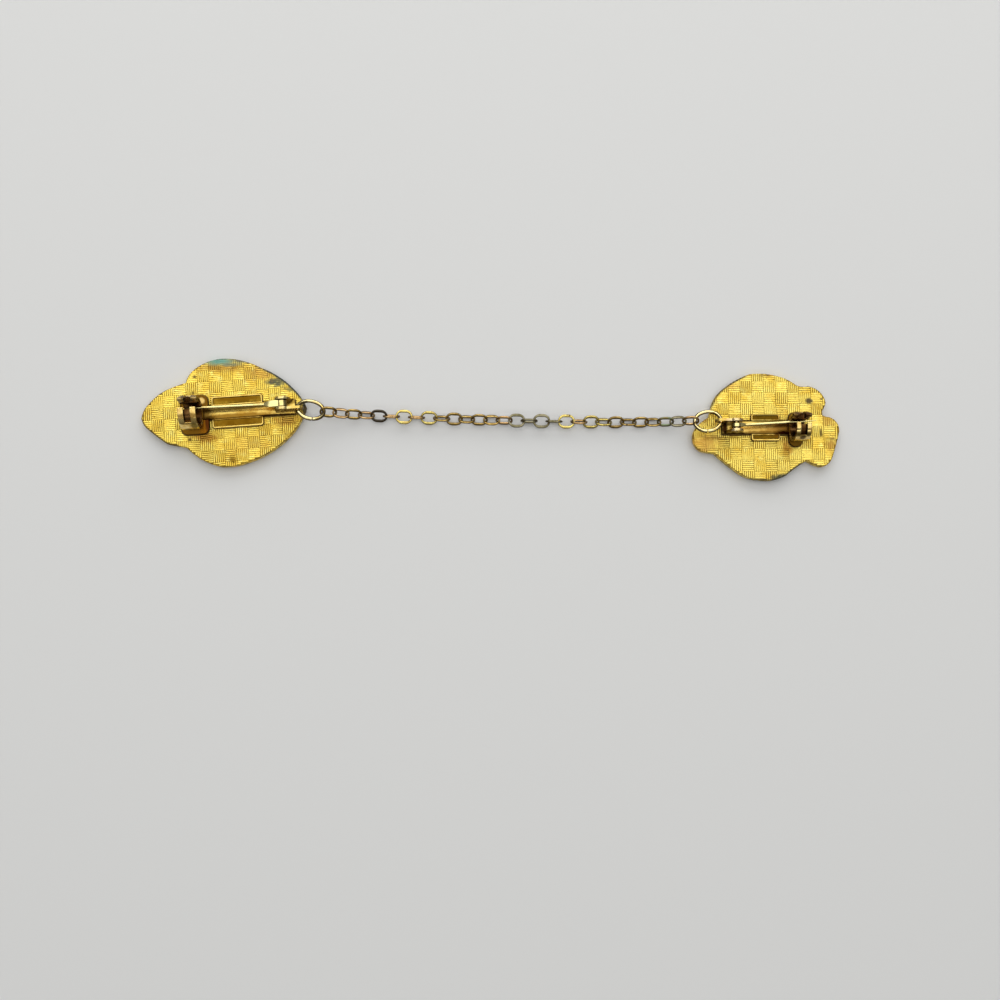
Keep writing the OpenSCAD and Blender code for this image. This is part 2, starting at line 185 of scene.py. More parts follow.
stain_and_shade, given = new_effect(
    "stain_and_shade", Centre=(0, 0, 0), Reach=(0.001, 0.001, 0.01), Turn=0.0, Ragged=0.8, Grain=900.0,
    Core=0.55,
)
place = object_place(stain_and_shade)
share = vector(stain_and_shade, "DIVIDE", in_turned_box(stain_and_shade, place, given), given["Reach"])
radius = vector(stain_and_shade, "LENGTH", share, out="Value")
uneven = number(stain_and_shade, "SUBTRACT", noise(stain_and_shade, place, given["Grain"]), 0.5)
ragged_radius = number(stain_and_shade, "MULTIPLY_ADD", uneven, given["Ragged"], radius)
give_mask(stain_and_shade, fade(stain_and_shade, ragged_radius, STAIN_END, given["Core"]))

# %% Dirt and painted shade between two heights
# The mask is full below one height and fades out above another. It marks dirt in the plate's grooves, darkens the
# wings' hollows, and paints shade low on the catches.
dirt_and_shade, given = new_effect(
    "dirt_and_shade_by_height", Clean_above=0.002, Dirty_below=0.0018, Nothing_below=0.0017,
)
height = step(dirt_and_shade, "SeparateXYZ", {0: object_place(dirt_and_shade)}, "Z")
low = fade(dirt_and_shade, height, given["Clean above"], given["Dirty below"])
high_enough = number(dirt_and_shade, "GREATER_THAN", height, given["Nothing below"])
give_mask(dirt_and_shade, number(dirt_and_shade, "MULTIPLY", low, high_enough))

# %% Faces that look one way
# Its mask paints shade: steep faces of brass and wire, and the ends of the catch's tube, are darkened with it.
facing, given = new_effect("facing", Direction=(0, 0, 1), From=0.75, To=0.3)
normal = step(facing, "NewGeometry", {}, "Normal")
match = vector(facing, "DOT_PRODUCT", normal, given["Direction"], out="Value")
give_mask(facing, fade(facing, number(facing, "ABSOLUTE", match), given["From"], given["To"]))

# %% Metal beside a soldered piece, where contact shade and tarnish are painted
SEAM_FADE = (1.4, 0.5)

beside, given = new_effect(
    "beside", Centre=(0, 0, 0), Half=(0.001, 0.001, 1), Turn=0.0, Reach=0.0003, Corner=0.0,
)
folded = vector(beside, "ABSOLUTE", in_turned_box(beside, object_place(beside), given))
outside = vector(beside, "MAXIMUM", vector(beside, "SUBTRACT", folded, given["Half"]))
distance = vector(beside, "LENGTH", outside, out="Value")
past_corner = number(beside, "SUBTRACT", distance, given["Corner"])
share = number(beside, "DIVIDE", past_corner, given["Reach"])
give_mask(beside, fade(beside, share, *SEAM_FADE))

# %% Metal near a plate's edge
EDGE_FADE = (1.5, 0.6)

near_edge, given = new_effect("near_edge", Reach=0.2)
distance = step(near_edge, "Attribute", {}, "Fac", attribute_name="edge_distance")
share = number(near_edge, "DIVIDE", distance, given["Reach"])
give_mask(near_edge, fade(near_edge, share, *EDGE_FADE))

# %% [markdown]
# ## Where each bar lies
# Both findings are made the same way, in the coordinates of their bar: X runs
# from the hinge to the catch, Y to the catch's mouth, and Z up from the plate's
# back. The CAD model's joints say where each bar is, so a matrix built from them
# sets the finished shapes down. The left bar is a mirror image, and make_piece
# turns its faces the right way round again.

# %% Bar sizes and placing
SIDES = ("left", "right")
BAR_SIZES = {
    "flip": (-1, 1),
    "length": (24.4, 18.1),
    "wing_at": (6.9, 6.4),
    "wing_len": (10.7, 6.2),
    "wing_span": (6.8, 5.8),
    "catch_at": (21.3, 16.1),
    "tube_len": (3.7, 3.2),
    "tube_r": (3.4, 2.95),
    "foot": ((5.8, 8.4), (2.9, 7.4)),
    "foot_y": (-0.2, -0.5),
    "pin_tip": (22.2, 19.9),
    "pin_end_y": (0.75, 0.83),
    "shank_end": (6.1, 4.4),
    "eye_w": (1.4, 0.9),
    "link_ear": (-1, 1),
    "hinge_y": (0.35, 0.0),
}
BARS = {side: {name: both[i] for name, both in BAR_SIZES.items()} for i, side in enumerate(SIDES)}
STRIP_W = 3.0
RIVET_AT = 2.4
RIVET_H = 3.0
BROOCHES = "brooches_and_chain"
joints = {j["name"]: j for j in frame["joints"]}


def set_down(origin, x_axis, y_axis, z_axis, unit=IN_MM):
    """Where a shape goes that was drawn in millimetres along three directions."""
    turned = Matrix((x_axis, y_axis, z_axis)).transposed().to_4x4()
    return Matrix.Translation(origin) @ turned @ unit


def bar_place(side):
    line = Vector(joints[f"{side}_catch_turn"]["axis"]).normalized()
    across = Vector((-line.y, line.x, 0))
    along = line * BARS[side]["flip"]
    up = Vector((0, 0, 1))
    hinge = Vector(joints[f"{side}_pin_hinge"]["pos_m"])
    start = hinge - MM * (RIVET_AT * along + BARS[side]["hinge_y"] * across + RIVET_H * up)
    return set_down(start, along, across, up)


def bar_heading(side):
    line = PLACE[side].to_3x3() @ Vector((1, 0, 0))
    return math.atan2(line.y, line.x)


def solder(side, part, bm, metal):
    """Makes a piece that is one solid with its brooch in the CAD model."""
    make_piece(f"{side}_{part}", bm, metal[side], PLACE[side], BROOCHES, [f"{side}_brooch"])


PLACE = {side: bar_place(side) for side in SIDES}
for side, matrix in PLACE.items():
    print(side, "bar starts at", [round(c / MM, 3) for c in matrix.translation])

# %% [markdown]
# ## Painting a finish
# A finish starts from one metal colour. Layers are then mixed over it, one after
# another, each with a mask. The same mask may also roughen the metal or take its
# metallic look away, as a crust of verdigris does.

# %% A finish and its layers
class Finish:
    """A metal material that layers are painted on, one over the other."""

    def __init__(self, name, colour, roughness):
        self.material = bpy.data.materials.new(name)
        self.material.use_nodes = True
        self.tree = self.material.node_tree
        self.inputs = self.tree.nodes["Principled BSDF"].inputs
        self.inputs["Base Color"].default_value = tone(colour)
        self.inputs["Roughness"].default_value = roughness
        self.inputs["Metallic"].default_value = 1

    def mask(self, group, *strengths, **values):
        """An effect's mask, made weaker by numbers or other masks."""
        feeds = {label.replace("_", " "): value for label, value in values.items()}
        mask = step(self.tree, "Group", feeds, "Mask", node_tree=group)
        for strength in strengths:
            mask = number(self.tree, "MULTIPLY", mask, strength)
        return mask

    def mix(self, label, mask, value, kind, first, result):
        target = self.inputs[label]
        before = target.links[0].from_socket if target.is_linked else target.default_value
        feeds = {0: mask, first: before, first + 1: value}
        self.tree.links.new(step(self.tree, "Mix", feeds, result, data_type=kind), target)

    def layer(self, mask, colour, roughness=None, metallic=None):
        self.mix("Base Color", mask, tone(colour), "RGBA", 6, 2)
        for label, value in (("Roughness", roughness), ("Metallic", metallic)):
            if value is not None:
                self.mix(label, mask, value, "FLOAT", 2, 0)

    def dents(self, scale, depth):
        """Adds fine dents, the last step, and returns the finished material."""
        height = noise(self.tree, object_place(self.tree), scale, roughness=0.5)
        bump = step(self.tree, "Bump", {"Height": height, "Strength": 1.0, "Distance": depth})
        self.tree.links.new(bump, self.inputs["Normal"])
        return self.material


print("a finish can be painted with:", [name for name in vars(Finish) if name[0] != "_"])

# %% [markdown]
# ## The gilt backs
# The cast backs are bright yellow gilt. Clouds of deeper gold and peach lie over
# them, olive dirt fills the grooves, the edge is dark in patches, and a dark line
# of painted contact shade and tarnish runs beside each soldered piece. Each brooch
# has stains of its own, and below each catch a brown patch is painted shadow as
# well as tarnish. A stain is given by its middle and reach in millimetres, as
# measured on the photo.

# %% Plate finishes
STAINS_AND_PAINTED_SHADOWS = {
    "left": [
        # x, y, reach x, reach y, ragged, colour, roughness, metallic, strength
        (-58.6, 10.9, 6.8, 1.3, 1.2, "b98b3a", 0.5, 0.9, 0.8),
        (-59.2, 12.3, 4.5, 1.2, 0.6, "74ad9d", 0.85, 0.0, 0.97),
        (-56.6, 11.6, 2.6, 0.55, 1.4, "8c9274", 0.8, 0.1, 0.8),
        (-53.4, 12.4, 4.6, 0.6, 0.8, "6f7566", 0.8, 0.1, 0.9),
        (-48.0, 7.9, 1.5, 0.95, 2.2, "3f5048", 0.8, 0.0, 0.97),
        (-46.9, 8.2, 2.2, 1.3, 3.2, "5d6650", 0.8, 0.1, 0.85),
        (-44.4, 6.4, 2.4, 0.7, 2.6, "6c6c44", 0.7, 0.2, 0.65),
        (-64.4, 8.8, 0.6, 0.5, 1.8, "5c4616", 0.7, 0.3, 0.85),
        (-64.5, 5.3, 0.5, 0.4, 1.8, "5c4616", 0.7, 0.3, 0.7),
        (-64.8, -4.8, 0.5, 0.45, 1.8, "5c4616", 0.7, 0.3, 0.8),
        # painted shadow of the catch on the plate, and tarnish
        (-61.8, -4.2, 3.2, 1.5, 1.6, "b0782a", 0.4, 1.0, 0.8),
        (-55.7, -8.9, 1.3, 1.1, 2.0, "94701f", 0.5, 1.0, 0.8),
        (-44.8, -0.5, 3.4, 1.4, 1.4, "c08a38", 0.4, 1.0, 0.75),
        (-40.5, 2.0, 1.5, 2.4, 1.4, "4d4024", 0.6, 0.4, 0.97),
        (-50.0, 9.6, 4.6, 2.0, 2.0, "cb9a4c", 0.45, 1.0, 0.6),
        (-52.6, -5.8, 5.4, 2.4, 2.2, "d8ae4c", 0.4, 1.0, 0.45),
    ],
    "right": [
        (68.8, 4.7, 0.85, 0.95, 2.8, "5f5030", 0.7, 0.2, 0.95),
        (71.5, 5.1, 0.4, 0.25, 1.8, "5a3a20", 0.7, 0.3, 0.8),
        (61.8, -12.2, 2.4, 0.8, 2.4, "4b4b34", 0.8, 0.1, 0.95),
        # painted shadow of the catch on the plate, and tarnish
        (63.7, -5.4, 1.5, 2.4, 2.0, "b3762a", 0.4, 1.0, 0.75),
        (73.3, -5.1, 1.5, 2.0, 1.8, "c28a3c", 0.45, 1.0, 0.65),
        (73.0, 0.6, 2.2, 1.6, 2.0, "c8913c", 0.45, 1.0, 0.6),
        (65.2, -3.6, 2.4, 1.0, 1.6, "a2761f", 0.4, 1.0, 0.7),
        (45.6, -4.9, 3.8, 2.4, 1.8, "cd9645", 0.4, 1.0, 0.65),
        (51.2, 7.9, 2.6, 1.4, 2.2, "cf9a4a", 0.45, 1.0, 0.5),
        (59.2, 10.3, 2.8, 0.6, 2.0, "a07a3c", 0.6, 0.9, 0.6),
        (71.2, -2.5, 0.45, 0.9, 2.2, "5d4c1c", 0.7, 0.4, 0.8),
        (73.4, -3.7, 1.5, 0.2, 1.6, "7d6528", 0.6, 0.5, 0.7),
        (47.4, -3.6, 3.4, 0.7, 1.5, "98692a", 0.5, 1.0, 0.6),
        (45.4, 0.2, 1.6, 1.6, 1.4, "9c7028", 0.5, 1.0, 0.7),
    ],
}
EDGE_STAINS = {
    "left": [
        # x, y, reach x, reach y, colour, width, strength
        (-46.0, 7.0, 8.5, 6.0, "39423a", 0.34, 0.95),
        (-70.5, -2.5, 6.0, 5.5, "5a4a1c", 0.3, 0.8),
    ],
    "right": [
        (51.0, 7.5, 5.5, 5.0, "4b452a", 0.3, 0.8),
        (62.5, -11.0, 8.0, 3.2, "4a4a34", 0.3, 0.85),
    ],
}
# Painted contact shade and tarnish beside the strip, the wings and the foot: width, corner, colour and strength
SEAM_SHADE_AND_TARNISH = {
    "strip": (0.3, 0, "43200a", 0.85),
    "wings": (0.16, 0.5, "64430e", 0.8),
    "foot": (0.24, 1.35, "52320c", 0.9),
}
GILT = {"left": "fbdd62", "right": "fbe06c"}
GROUND = 1.87
RIM = 0.1
STAIN_Z = 0.0019
STAIN_DEPTH = 0.01


def seam_boxes(side):
    """Middle and size of each soldered piece, along and across the bar."""
    bar = BARS[side]
    return {
        "strip": ((bar["length"] / 2, 0), (bar["length"], STRIP_W)),
        "wings": ((bar["wing_at"] + bar["wing_len"] / 2, 0), (bar["wing_len"], bar["wing_span"])),
        "foot": ((bar["catch_at"], bar["foot_y"]), bar["foot"]),
    }


def plate_spot(gilt, place, *strengths, ragged, core):
    """A patch on a plate's back, for stains and for painted shadow. Its place is x, y and the reach along both."""
    x, y, reach_x, reach_y = (value * MM for value in place)
    return gilt.mask(
        stain_and_shade, *strengths, Centre=(x, y, STAIN_Z), Reach=(reach_x, reach_y, STAIN_DEPTH),
        Ragged=ragged, Core=core,
    )


def plate_finish(side):
    gilt = Finish(f"{side}_plate_gilt", GILT[side], 0.34)
    gilt.layer(gilt.mask(clouds, Scale=240.0, From=0.42, To=0.66), "efc94f")
    gilt.layer(gilt.mask(clouds, Scale=620.0, From=0.5, To=0.72, Shift=(0.1, 0, 0)), "fbe87c", 0.28)
    grooves = gilt.mask(
        dirt_and_shade, Clean_above=(GROUND + 0.1) * MM, Dirty_below=(GROUND + 0.01) * MM,
        Nothing_below=(GROUND - 0.02) * MM,
    )
    gilt.layer(grooves, "b58f2e", 0.42)
    specks = gilt.mask(clouds, grooves, Scale=1500.0, From=0.58, To=0.7, Shift=(0, 0.2, 0))
    gilt.layer(specks, "6b5317", 0.7)
    pits = gilt.mask(clouds, 0.75, Scale=3400.0, From=0.57, To=0.7, Shift=(0.3, 0.2, 0))
    gilt.layer(pits, "8d6c1e", 0.5)
    for *place, ragged, colour, roughness, metallic, strength in STAINS_AND_PAINTED_SHADOWS[side]:
        spot = plate_spot(gilt, place, strength, ragged=ragged, core=0.2)
        gilt.layer(spot, colour, roughness, metallic)
    # A dark line beside each soldered piece: painted contact shade and tarnish.
    for name, (middle, size) in seam_boxes(side).items():
        width, corner_r, colour, strength = SEAM_SHADE_AND_TARNISH[name]
        shade_and_tarnish_beside = gilt.mask(
            beside, strength, Centre=PLACE[side] @ Vector((*middle, 0)), Turn=-bar_heading(side),
            Half=(*((length / 2 - corner_r) * MM for length in size), 1), Reach=width * MM,
            Corner=corner_r * MM,
        )
        gilt.layer(shade_and_tarnish_beside, colour, 0.5, 0.6)
    patches = gilt.mask(clouds, 0.7, Scale=700.0, From=0.44, To=0.6, Shift=(0, 0, 0.3))
    gilt.layer(gilt.mask(near_edge, patches, Reach=0.14), "5e4a1c", 0.55, 0.6)
    for *place, colour, width, strength in EDGE_STAINS[side]:
        edge = gilt.mask(near_edge, Reach=width)
        gilt.layer(plate_spot(gilt, place, edge, strength, ragged=1.2, core=0.6), colour, 0.7, 0.2)
    return gilt.dents(2600.0, 0.000006)


plate_gilt = {side: plate_finish(side) for side in SIDES}
print("plate finishes:", [m.name for m in plate_gilt.values()])

# %% [markdown]
# ## The findings, pins, rings and links
# The pressed findings are a glossier brass than the cast backs. The hollows of the
# wings are darker. Painted shade lies along one side of the strip and where the pin
# and the catch shade the strip, and the tops of the hinges carry painted highlights.
# Steep faces of brass and wire are painted dark as shade. Pins and jump rings are
# drawn wire. The plating on the links has worn off by different amounts, so they
# come in five tones, from bright gilt to bare grey and green.

# %% Brass finishes
def tarnish_and_painted_light(finish, side, at, reach, colour, strength, ragged=0.8, roughness=0.3):
    """A patch of colour at a place that is given in the bar's own coordinates: tarnish, painted shade and painted
    highlights are laid with it.
    """
    spot = finish.mask(
        stain_and_shade, strength, Centre=PLACE[side] @ Vector(at), Reach=Vector(reach) * MM,
        Turn=-bar_heading(side), Ragged=ragged, Core=0.5,
    )
    finish.layer(spot, colour, roughness)


# Each patch: its middle, its reach, colour and strength. Most are painted shade and shadow, and the pale ones on
# the hinges are painted highlights.
BAR_TARNISH_AND_PAINTED_LIGHT = {
    "left": [
        # painted shade on the strip's lower side
        ((13.0, -1.15, 0.6), (11.0, 0.75, 0.5), "8a6118", 0.9),
        # painted shadow of the pin on the strip, and painted shade beside the pin
        ((12.5, 0.55, 0.6), (11.5, 0.36, 0.5), "46340a", 0.92),
        ((12.5, 1.1, 0.6), (11.0, 0.25, 0.5), "5a4a12", 0.7),
        # painted shadow of the catch on the strip's end
        ((20.2, 0.0, 0.5), (3.2, 2.2, 1.0), "6e4d16", 0.9),
        # painted shade along the strip's lower edge, by the hinge and by the catch
        ((5.0, -1.45, 0.4), (4.6, 0.3, 0.5), "3c1d08", 0.95),
        ((18.6, -1.5, 0.4), (1.8, 0.35, 0.5), "3c1d08", 0.9),
        ((12.2, 2.7, 0.3), (5.6, 0.6, 0.4), "74500a", 0.85),
        # painted highlight on the tops of the hinge ears
        ((2.0, 0.35, 4.1), (2.6, 1.9, 0.9), "fbe9a6", 0.8),
        ((12.2, -2.4, 0.3), (5.6, 1.0, 0.4), "6e4b08", 0.75),
        # painted shadow of the pin's eye on the strip
        ((1.0, 1.1, 0.5), (1.9, 0.7, 0.5), "8a6a22", 0.85),
    ],
    "right": [
        # painted shadow of the catch on the strip's end
        ((13.2, -0.2, 0.6), (4.2, 2.4, 1.0), "74490f", 0.9),
        # painted shadow of the pin on the strip
        ((8.0, 0.35, 0.6), (6.0, 0.25, 0.5), "5a3a10", 0.85),
        ((8.5, -0.5, 0.6), (5.5, 0.8, 0.5), "b0843a", 0.6),
        # painted shade on the strip's lower side
        ((9.0, -1.2, 0.6), (8.0, 0.45, 0.5), "6a4a14", 0.85),
        # painted shade between the pin and the upper wing
        ((9.5, 1.35, 0.5), (8.5, 0.3, 0.5), "4a3c0c", 0.9),
        ((9.5, 2.8, 0.6), (3.6, 0.35, 0.6), "8c7634", 0.85),
        # painted highlight on the tops of the hinge ears
        ((1.8, 0.0, 4.1), (2.8, 1.9, 0.9), "f8e2b4", 0.8),
        # painted shadow of the catch by the strip's lower edge
        ((13.6, -1.3, 0.4), (2.6, 0.5, 0.6), "3a0f06", 0.95),
        # painted shadow at the strip's hinge end, and along its lower edge by the hinge
        ((0.5, -0.2, 0.4), (0.9, 2.2, 0.9), "2f1a08", 1.0),
        ((3.2, -1.4, 0.4), (3.4, 0.35, 0.5), "35180a", 0.95),
    ],
}
HOLLOW_TONE = {"left": "957320", "right": "5c440c"}


def finding_finish(side):
    brass = Finish(f"{side}_finding_brass", "efcd6c", 0.2)
    brass.layer(brass.mask(clouds, Scale=420.0, From=0.42, To=0.68), "cfa548", 0.26)
    # The wings' hollows are painted darker.
    hollow = brass.mask(dirt_and_shade, Clean_above=0.00252, Dirty_below=0.00238, Nothing_below=0.0021)
    brass.layer(hollow, HOLLOW_TONE[side], 0.32)
    brass.layer(brass.mask(clouds, hollow, Scale=500.0, From=0.4, To=0.6), "6b4f10", 0.3)
    for at, reach, colour, strength in BAR_TARNISH_AND_PAINTED_LIGHT[side]:
        tarnish_and_painted_light(brass, side, at, reach, colour, strength)
    # Painted shade on steep faces.
    brass.layer(brass.mask(facing, 0.9, From=0.75, To=0.35), "4a320e", 0.3)
    return brass.dents(800.0, 0.000003)


finding_brass = {side: finding_finish(side) for side in SIDES}
print("finding finishes:", [m.name for m in finding_brass.values()])

# %% Catch finishes
# Each patch: its middle, its reach, colour and strength. Most are painted shade and shadow on the foot, the lip
# and the tube, and one is a painted highlight.
CATCH_TARNISH_AND_PAINTED_LIGHT = {
    "left": [
        # painted highlight on the top of the foot
        ((19.9, 2.7, 0.4), (0.95, 0.8, 0.6), "e3c274", 0.95),
        # painted shadow of the tube on the foot
        ((19.2, -2.8, 0.4), (1.5, 2.2, 0.6), "8e5a12", 0.95),
        ((18.5, -2.2, 0.4), (0.8, 2.4, 0.6), "53290e", 0.95),
        ((20.7, -2.7, 0.4), (0.5, 0.5, 0.5), "dcb060", 0.8),
        # painted shade on the lip beside the mouth
        ((21.3, 2.4, 5.2), (2.9, 1.5, 2.2), "7a6244", 0.85),
        ((22.3, 2.6, 5.5), (0.2, 1.0, 1.6), "3d2a14", 0.8),
        ((20.5, 2.6, 5.5), (0.25, 1.0, 1.6), "4a341a", 0.7),
        # painted shade on the tube's front, between its glints
        ((20.2, -3.3, 5.3), (0.9, 1.0, 1.3), "6f5812", 0.9),
        ((21.3, -3.95, 3.7), (2.4, 0.5, 0.9), "54400f", 0.9),
        ((21.3, -1.7, 7.0), (2.4, 0.9, 1.0), "a5803e", 0.85),
    ],
    "right": [
        # painted shadow of the tube on the foot
        ((16.1, -3.6, 0.4), (2.2, 1.6, 0.6), "5f4412", 0.9),
        # painted shade on the lip beside the mouth
        ((16.1, 2.1, 4.8), (2.9, 1.5, 2.2), "4c2b12", 0.97),
        # painted shade on the tube's front and in the window
        ((16.1, -2.32, 5.67), (2.4, 0.5, 0.7), "6b5316", 0.9),
        ((16.1, -2.9, 4.8), (0.8, 0.6, 0.9), "3a2412", 0.85),
        ((16.1, -3.4, 3.3), (2.2, 0.4, 0.8), "54400f", 0.9),
    ],
}


def catch_finish(side):
    brass = Finish(f"{side}_catch_brass", "f0d488", 0.15)
    tarnish = brass.mask(clouds, Scale=480.0, From=0.4, To=0.65, Shift=(0.3, 0, 0))
    brass.layer(tarnish, "cfa858", 0.2)
    # Painted shade: the lower part of the catch is darker.
    low_shade = brass.mask(dirt_and_shade, Clean_above=0.0042, Dirty_below=0.003, Nothing_below=0.0019)
    brass.layer(low_shade, "6f4d14", 0.28)
    for at, reach, colour, strength in CATCH_TARNISH_AND_PAINTED_LIGHT[side]:
        tarnish_and_painted_light(brass, side, at, reach, colour, strength, roughness=0.38)
    # Painted shade on the tube's ends, and on the steep faces low on the catch.
    along = PLACE[side].to_3x3() @ Vector((1 / MM, 0, 0))
    brass.layer(brass.mask(facing, 0.9, Direction=along, From=0.6, To=0.9), "4a3010", 0.3)
    low = brass.mask(dirt_and_shade, Clean_above=0.0026, Dirty_below=0.0025, Nothing_below=0.0001)
    brass.layer(brass.mask(facing, low, From=0.8, To=0.4), "35200a", 0.4)
    return brass.dents(600.0, 0.000003)


catch_brass = {side: catch_finish(side) for side in SIDES}
# The sleeve's dark brown is painted shade: it lies inside the tube.
sleeve = Finish("shaded_sleeve_brass", "6b4c2a", 0.24)
sleeve.layer(sleeve.mask(clouds, Scale=500.0, From=0.4, To=0.6), "43290f", 0.32)
shaded_sleeve_brass = sleeve.dents(900.0, 0.000003)
print("catch finishes:", [m.name for m in (*catch_brass.values(), shaded_sleeve_brass)])

# %% Pin and ring finishes
def pin_finish(side):
    gilt = Finish(f"{side}_pin_gilt", "feeea4", 0.16)
    gilt.layer(gilt.mask(clouds, Scale=300.0, From=0.5, To=0.7), "f0d684", 0.22)
    # Painted shade where the left pin's point goes into the catch, and on the sides of the wire.
    if side == "left":
        tarnish_and_painted_light(gilt, side, (21.6, 0.7, 3.0), (2.1, 1.0, 1.0), "54401c", 0.9, ragged=0.2)
    gilt.layer(gilt.mask(facing, 0.9, From=0.86, To=0.6), "4d380c", 0.28)
    return gilt.dents(700.0, 0.000002)


pin_gilt = {side: pin_finish(side) for side in SIDES}
ring = Finish("ring_gilt", "fae7a8", 0.16)
ring.layer(ring.mask(clouds, Scale=500.0, From=0.45, To=0.65), "dcbd70", 0.24)
# Painted shade on the sides of the wire.
ring.layer(ring.mask(facing, 0.95, From=0.9, To=0.64), "3a2b0c", 0.3)
ring_gilt = ring.dents(900.0, 0.000002)
print("wire finishes:", [m.name for m in (*pin_gilt.values(), ring_gilt)])

# %% Link finishes
# Each tone: its colour, the colour of its clouds, and its roughness
LINK_FINISHES = {
    "link_bright": ("f4e084", "dec26c", 0.2),
    "link_rosy": ("e6c088", "be955f", 0.28),
    "link_brown": ("dcbb72", "a9894a", 0.28),
    "link_grey": ("9e9678", "766f50", 0.34),
    "link_green": ("8fa07e", "a3905f", 0.5),
}
DARK_LINK = {"Centre": (-0.0246, 0.0008, 0.002), "Reach": (0.0026, 0.003, 0.01), "Ragged": 0.3}
link_metal = {}
for slot, (colour, cloud, roughness) in LINK_FINISHES.items():
    worn = Finish(f"{slot}_metal", colour, roughness)
    worn.layer(worn.mask(clouds, Scale=900.0, From=0.4, To=0.62), cloud, roughness + 0.08)
    bare = worn.mask(clouds, Scale=1400.0, From=0.58, To=0.7, Shift=(0, 0.4, 0))
    worn.layer(bare, "5b4a34", 0.45)
    if slot == "link_grey":
        worn.layer(worn.mask(stain_and_shade, **DARK_LINK), "5c554a", 0.3)
    # Painted shade on the sides of the links.
    worn.layer(worn.mask(facing, 0.85, From=0.9, To=0.6), "4a3a18", 0.35)
    link_metal[slot] = worn.dents(1500.0, 0.000004)
print("link finishes:", sorted(link_metal))

# %% [markdown]
# ## The plates
# Each plate is cast: a scalloped outline with a shallow dome in front and a flat
# back. Its outline is already in the CAD model, so a merged copy of that mesh is
# cut off just under the back, which also takes the finding away, and is closed
# again with one flat face. The weave is laid on that face afterwards.

# %% Cut and close the plates
NEAR = 1e-4


def plate_blank(side):
    bm = bmesh.new()
    bm.from_mesh(frame["nodes"][f"{side}_brooch"].data)
    bm.transform(Matrix.Scale(1 / MM, 4))
    bmesh.ops.remove_doubles(bm, verts=bm.verts, dist=NEAR)
    cut = bmesh.ops.bisect_plane(
        bm, geom=bm.verts[:] + bm.edges[:] + bm.faces[:], plane_co=(0, 0, GROUND),
        plane_no=(0, 0, 1), clear_outer=True, dist=NEAR / 10,
    )
    rim = [e for e in cut["geom_cut"] if isinstance(e, bmesh.types.BMEdge)]
    top = bmesh.ops.contextual_create(bm, geom=rim)["faces"][0]
    outline = np.array([v.co[:2] for v in top.verts])
    soften(bm, top.edges, RIM)
    return bm, outline


for side in SIDES:
    blank, outline = plate_blank(side)
    print(side, "blank:", len(blank.faces), "faces,", len(outline), "points round its edge")
    blank.free()

# %% [markdown]
# ## One rib of the weave
# The backs imitate basket weave: squares of fine parallel ribs that run up and
# down and left and right by turns. A bump map would lose its glints at this size,
# so each rib is real. There are over a thousand, so one rib has only a few faces:
# a line of four points is spun half a turn. Its ends are drawn in a little and lap
# into the next square.

# %% Make the rib
RIB_LINE = (-0.5, -0.44, 0.44, 0.5)
RIB_TIP = (1, 0.95, 0.93)


def rib_mesh():
    bm = bmesh.new()
    line = [bm.verts.new((x, -0.5, 0)) for x in RIB_LINE]
    edges = [bm.edges.new(pair) for pair in zip(line, line[1:])]
    bmesh.ops.spin(
        bm, geom=line + edges, cent=(0, 0, 0), axis=(-1, 0, 0), angle=math.pi, steps=4,
    )
    bmesh.ops.scale(bm, vec=(1, 1, 2), verts=bm.verts)
    for end in (RIB_LINE[0], RIB_LINE[-1]):
        tip = [v for v in bm.verts if abs(v.co.x - end) < NEAR]
        bmesh.ops.scale(bm, vec=RIB_TIP, verts=tip)
        bmesh.ops.contextual_create(bm, geom=tip)
    bmesh.ops.recalc_face_normals(bm, faces=bm.faces)
    mesh = bpy.data.meshes.new("rib")
    bm.to_mesh(mesh)
    bm.free()
    return mesh


rib = rib_mesh()
print("rib:", len(rib.polygons), "faces, top at", round(max(v.co.z for v in rib.vertices), 3))

# %% [markdown]
# ## Laying the weave
# The squares were measured on the photo: how large they are, how they are turned,
# and the corner of one of them. Each rib runs only where it and its two sides are
# inside the plate's outline, so the weave reaches the edge without hanging over.
# A little seeded unevenness keeps it from looking machine made.

# %% Lay the ribs on the plates
WEAVE = {
    "left": {"cell": (2.5, 2.5), "turn": 4.6, "corner": (-63.73, 7.575)},
    "right": {"cell": (2.6, 2.48), "turn": 0.4, "corner": (56.25, 3.917)},
}
RIBS = 6
RIB_TOP = 2.0
RIB_FOOT = 1.82
RIB_DIP = 0.02
RIB_SWAY = 0.7
RIB_OVERLAP = (1.1, 1.5)
STEP = 0.08
FEWEST_STEPS = 5
LAP = 0.08
CELLS = range(-8, 9)
SEED = {"left": 11, "right": 12}


def is_inside(points, outline):
    x, y = points[:, :1], points[:, 1:2]
    x0, y0 = outline.T
    x1, y1 = np.roll(outline, -1, 0).T
    crosses = (y0 > y) != (y1 > y)
    with np.errstate(divide="ignore", invalid="ignore"):
        at = x0 + (y - y0) * (x1 - x0) / (y1 - y0)
    return (crosses & (x < at)).sum(1) % 2 == 1


def clear_run(start, along, across, length, half, outline):
    """Where a rib may run: its middle line and both sides are inside the outline."""
    steps = np.arange(0, length + 1e-6, STEP)
    good = np.ones(len(steps), bool)
    for side in (-half, 0, half):
        good &= is_inside(start + steps[:, None] * along + side * across, outline)
    kept = steps[good]
    return (kept[0], kept[-1]) if len(kept) >= FEWEST_STEPS else None


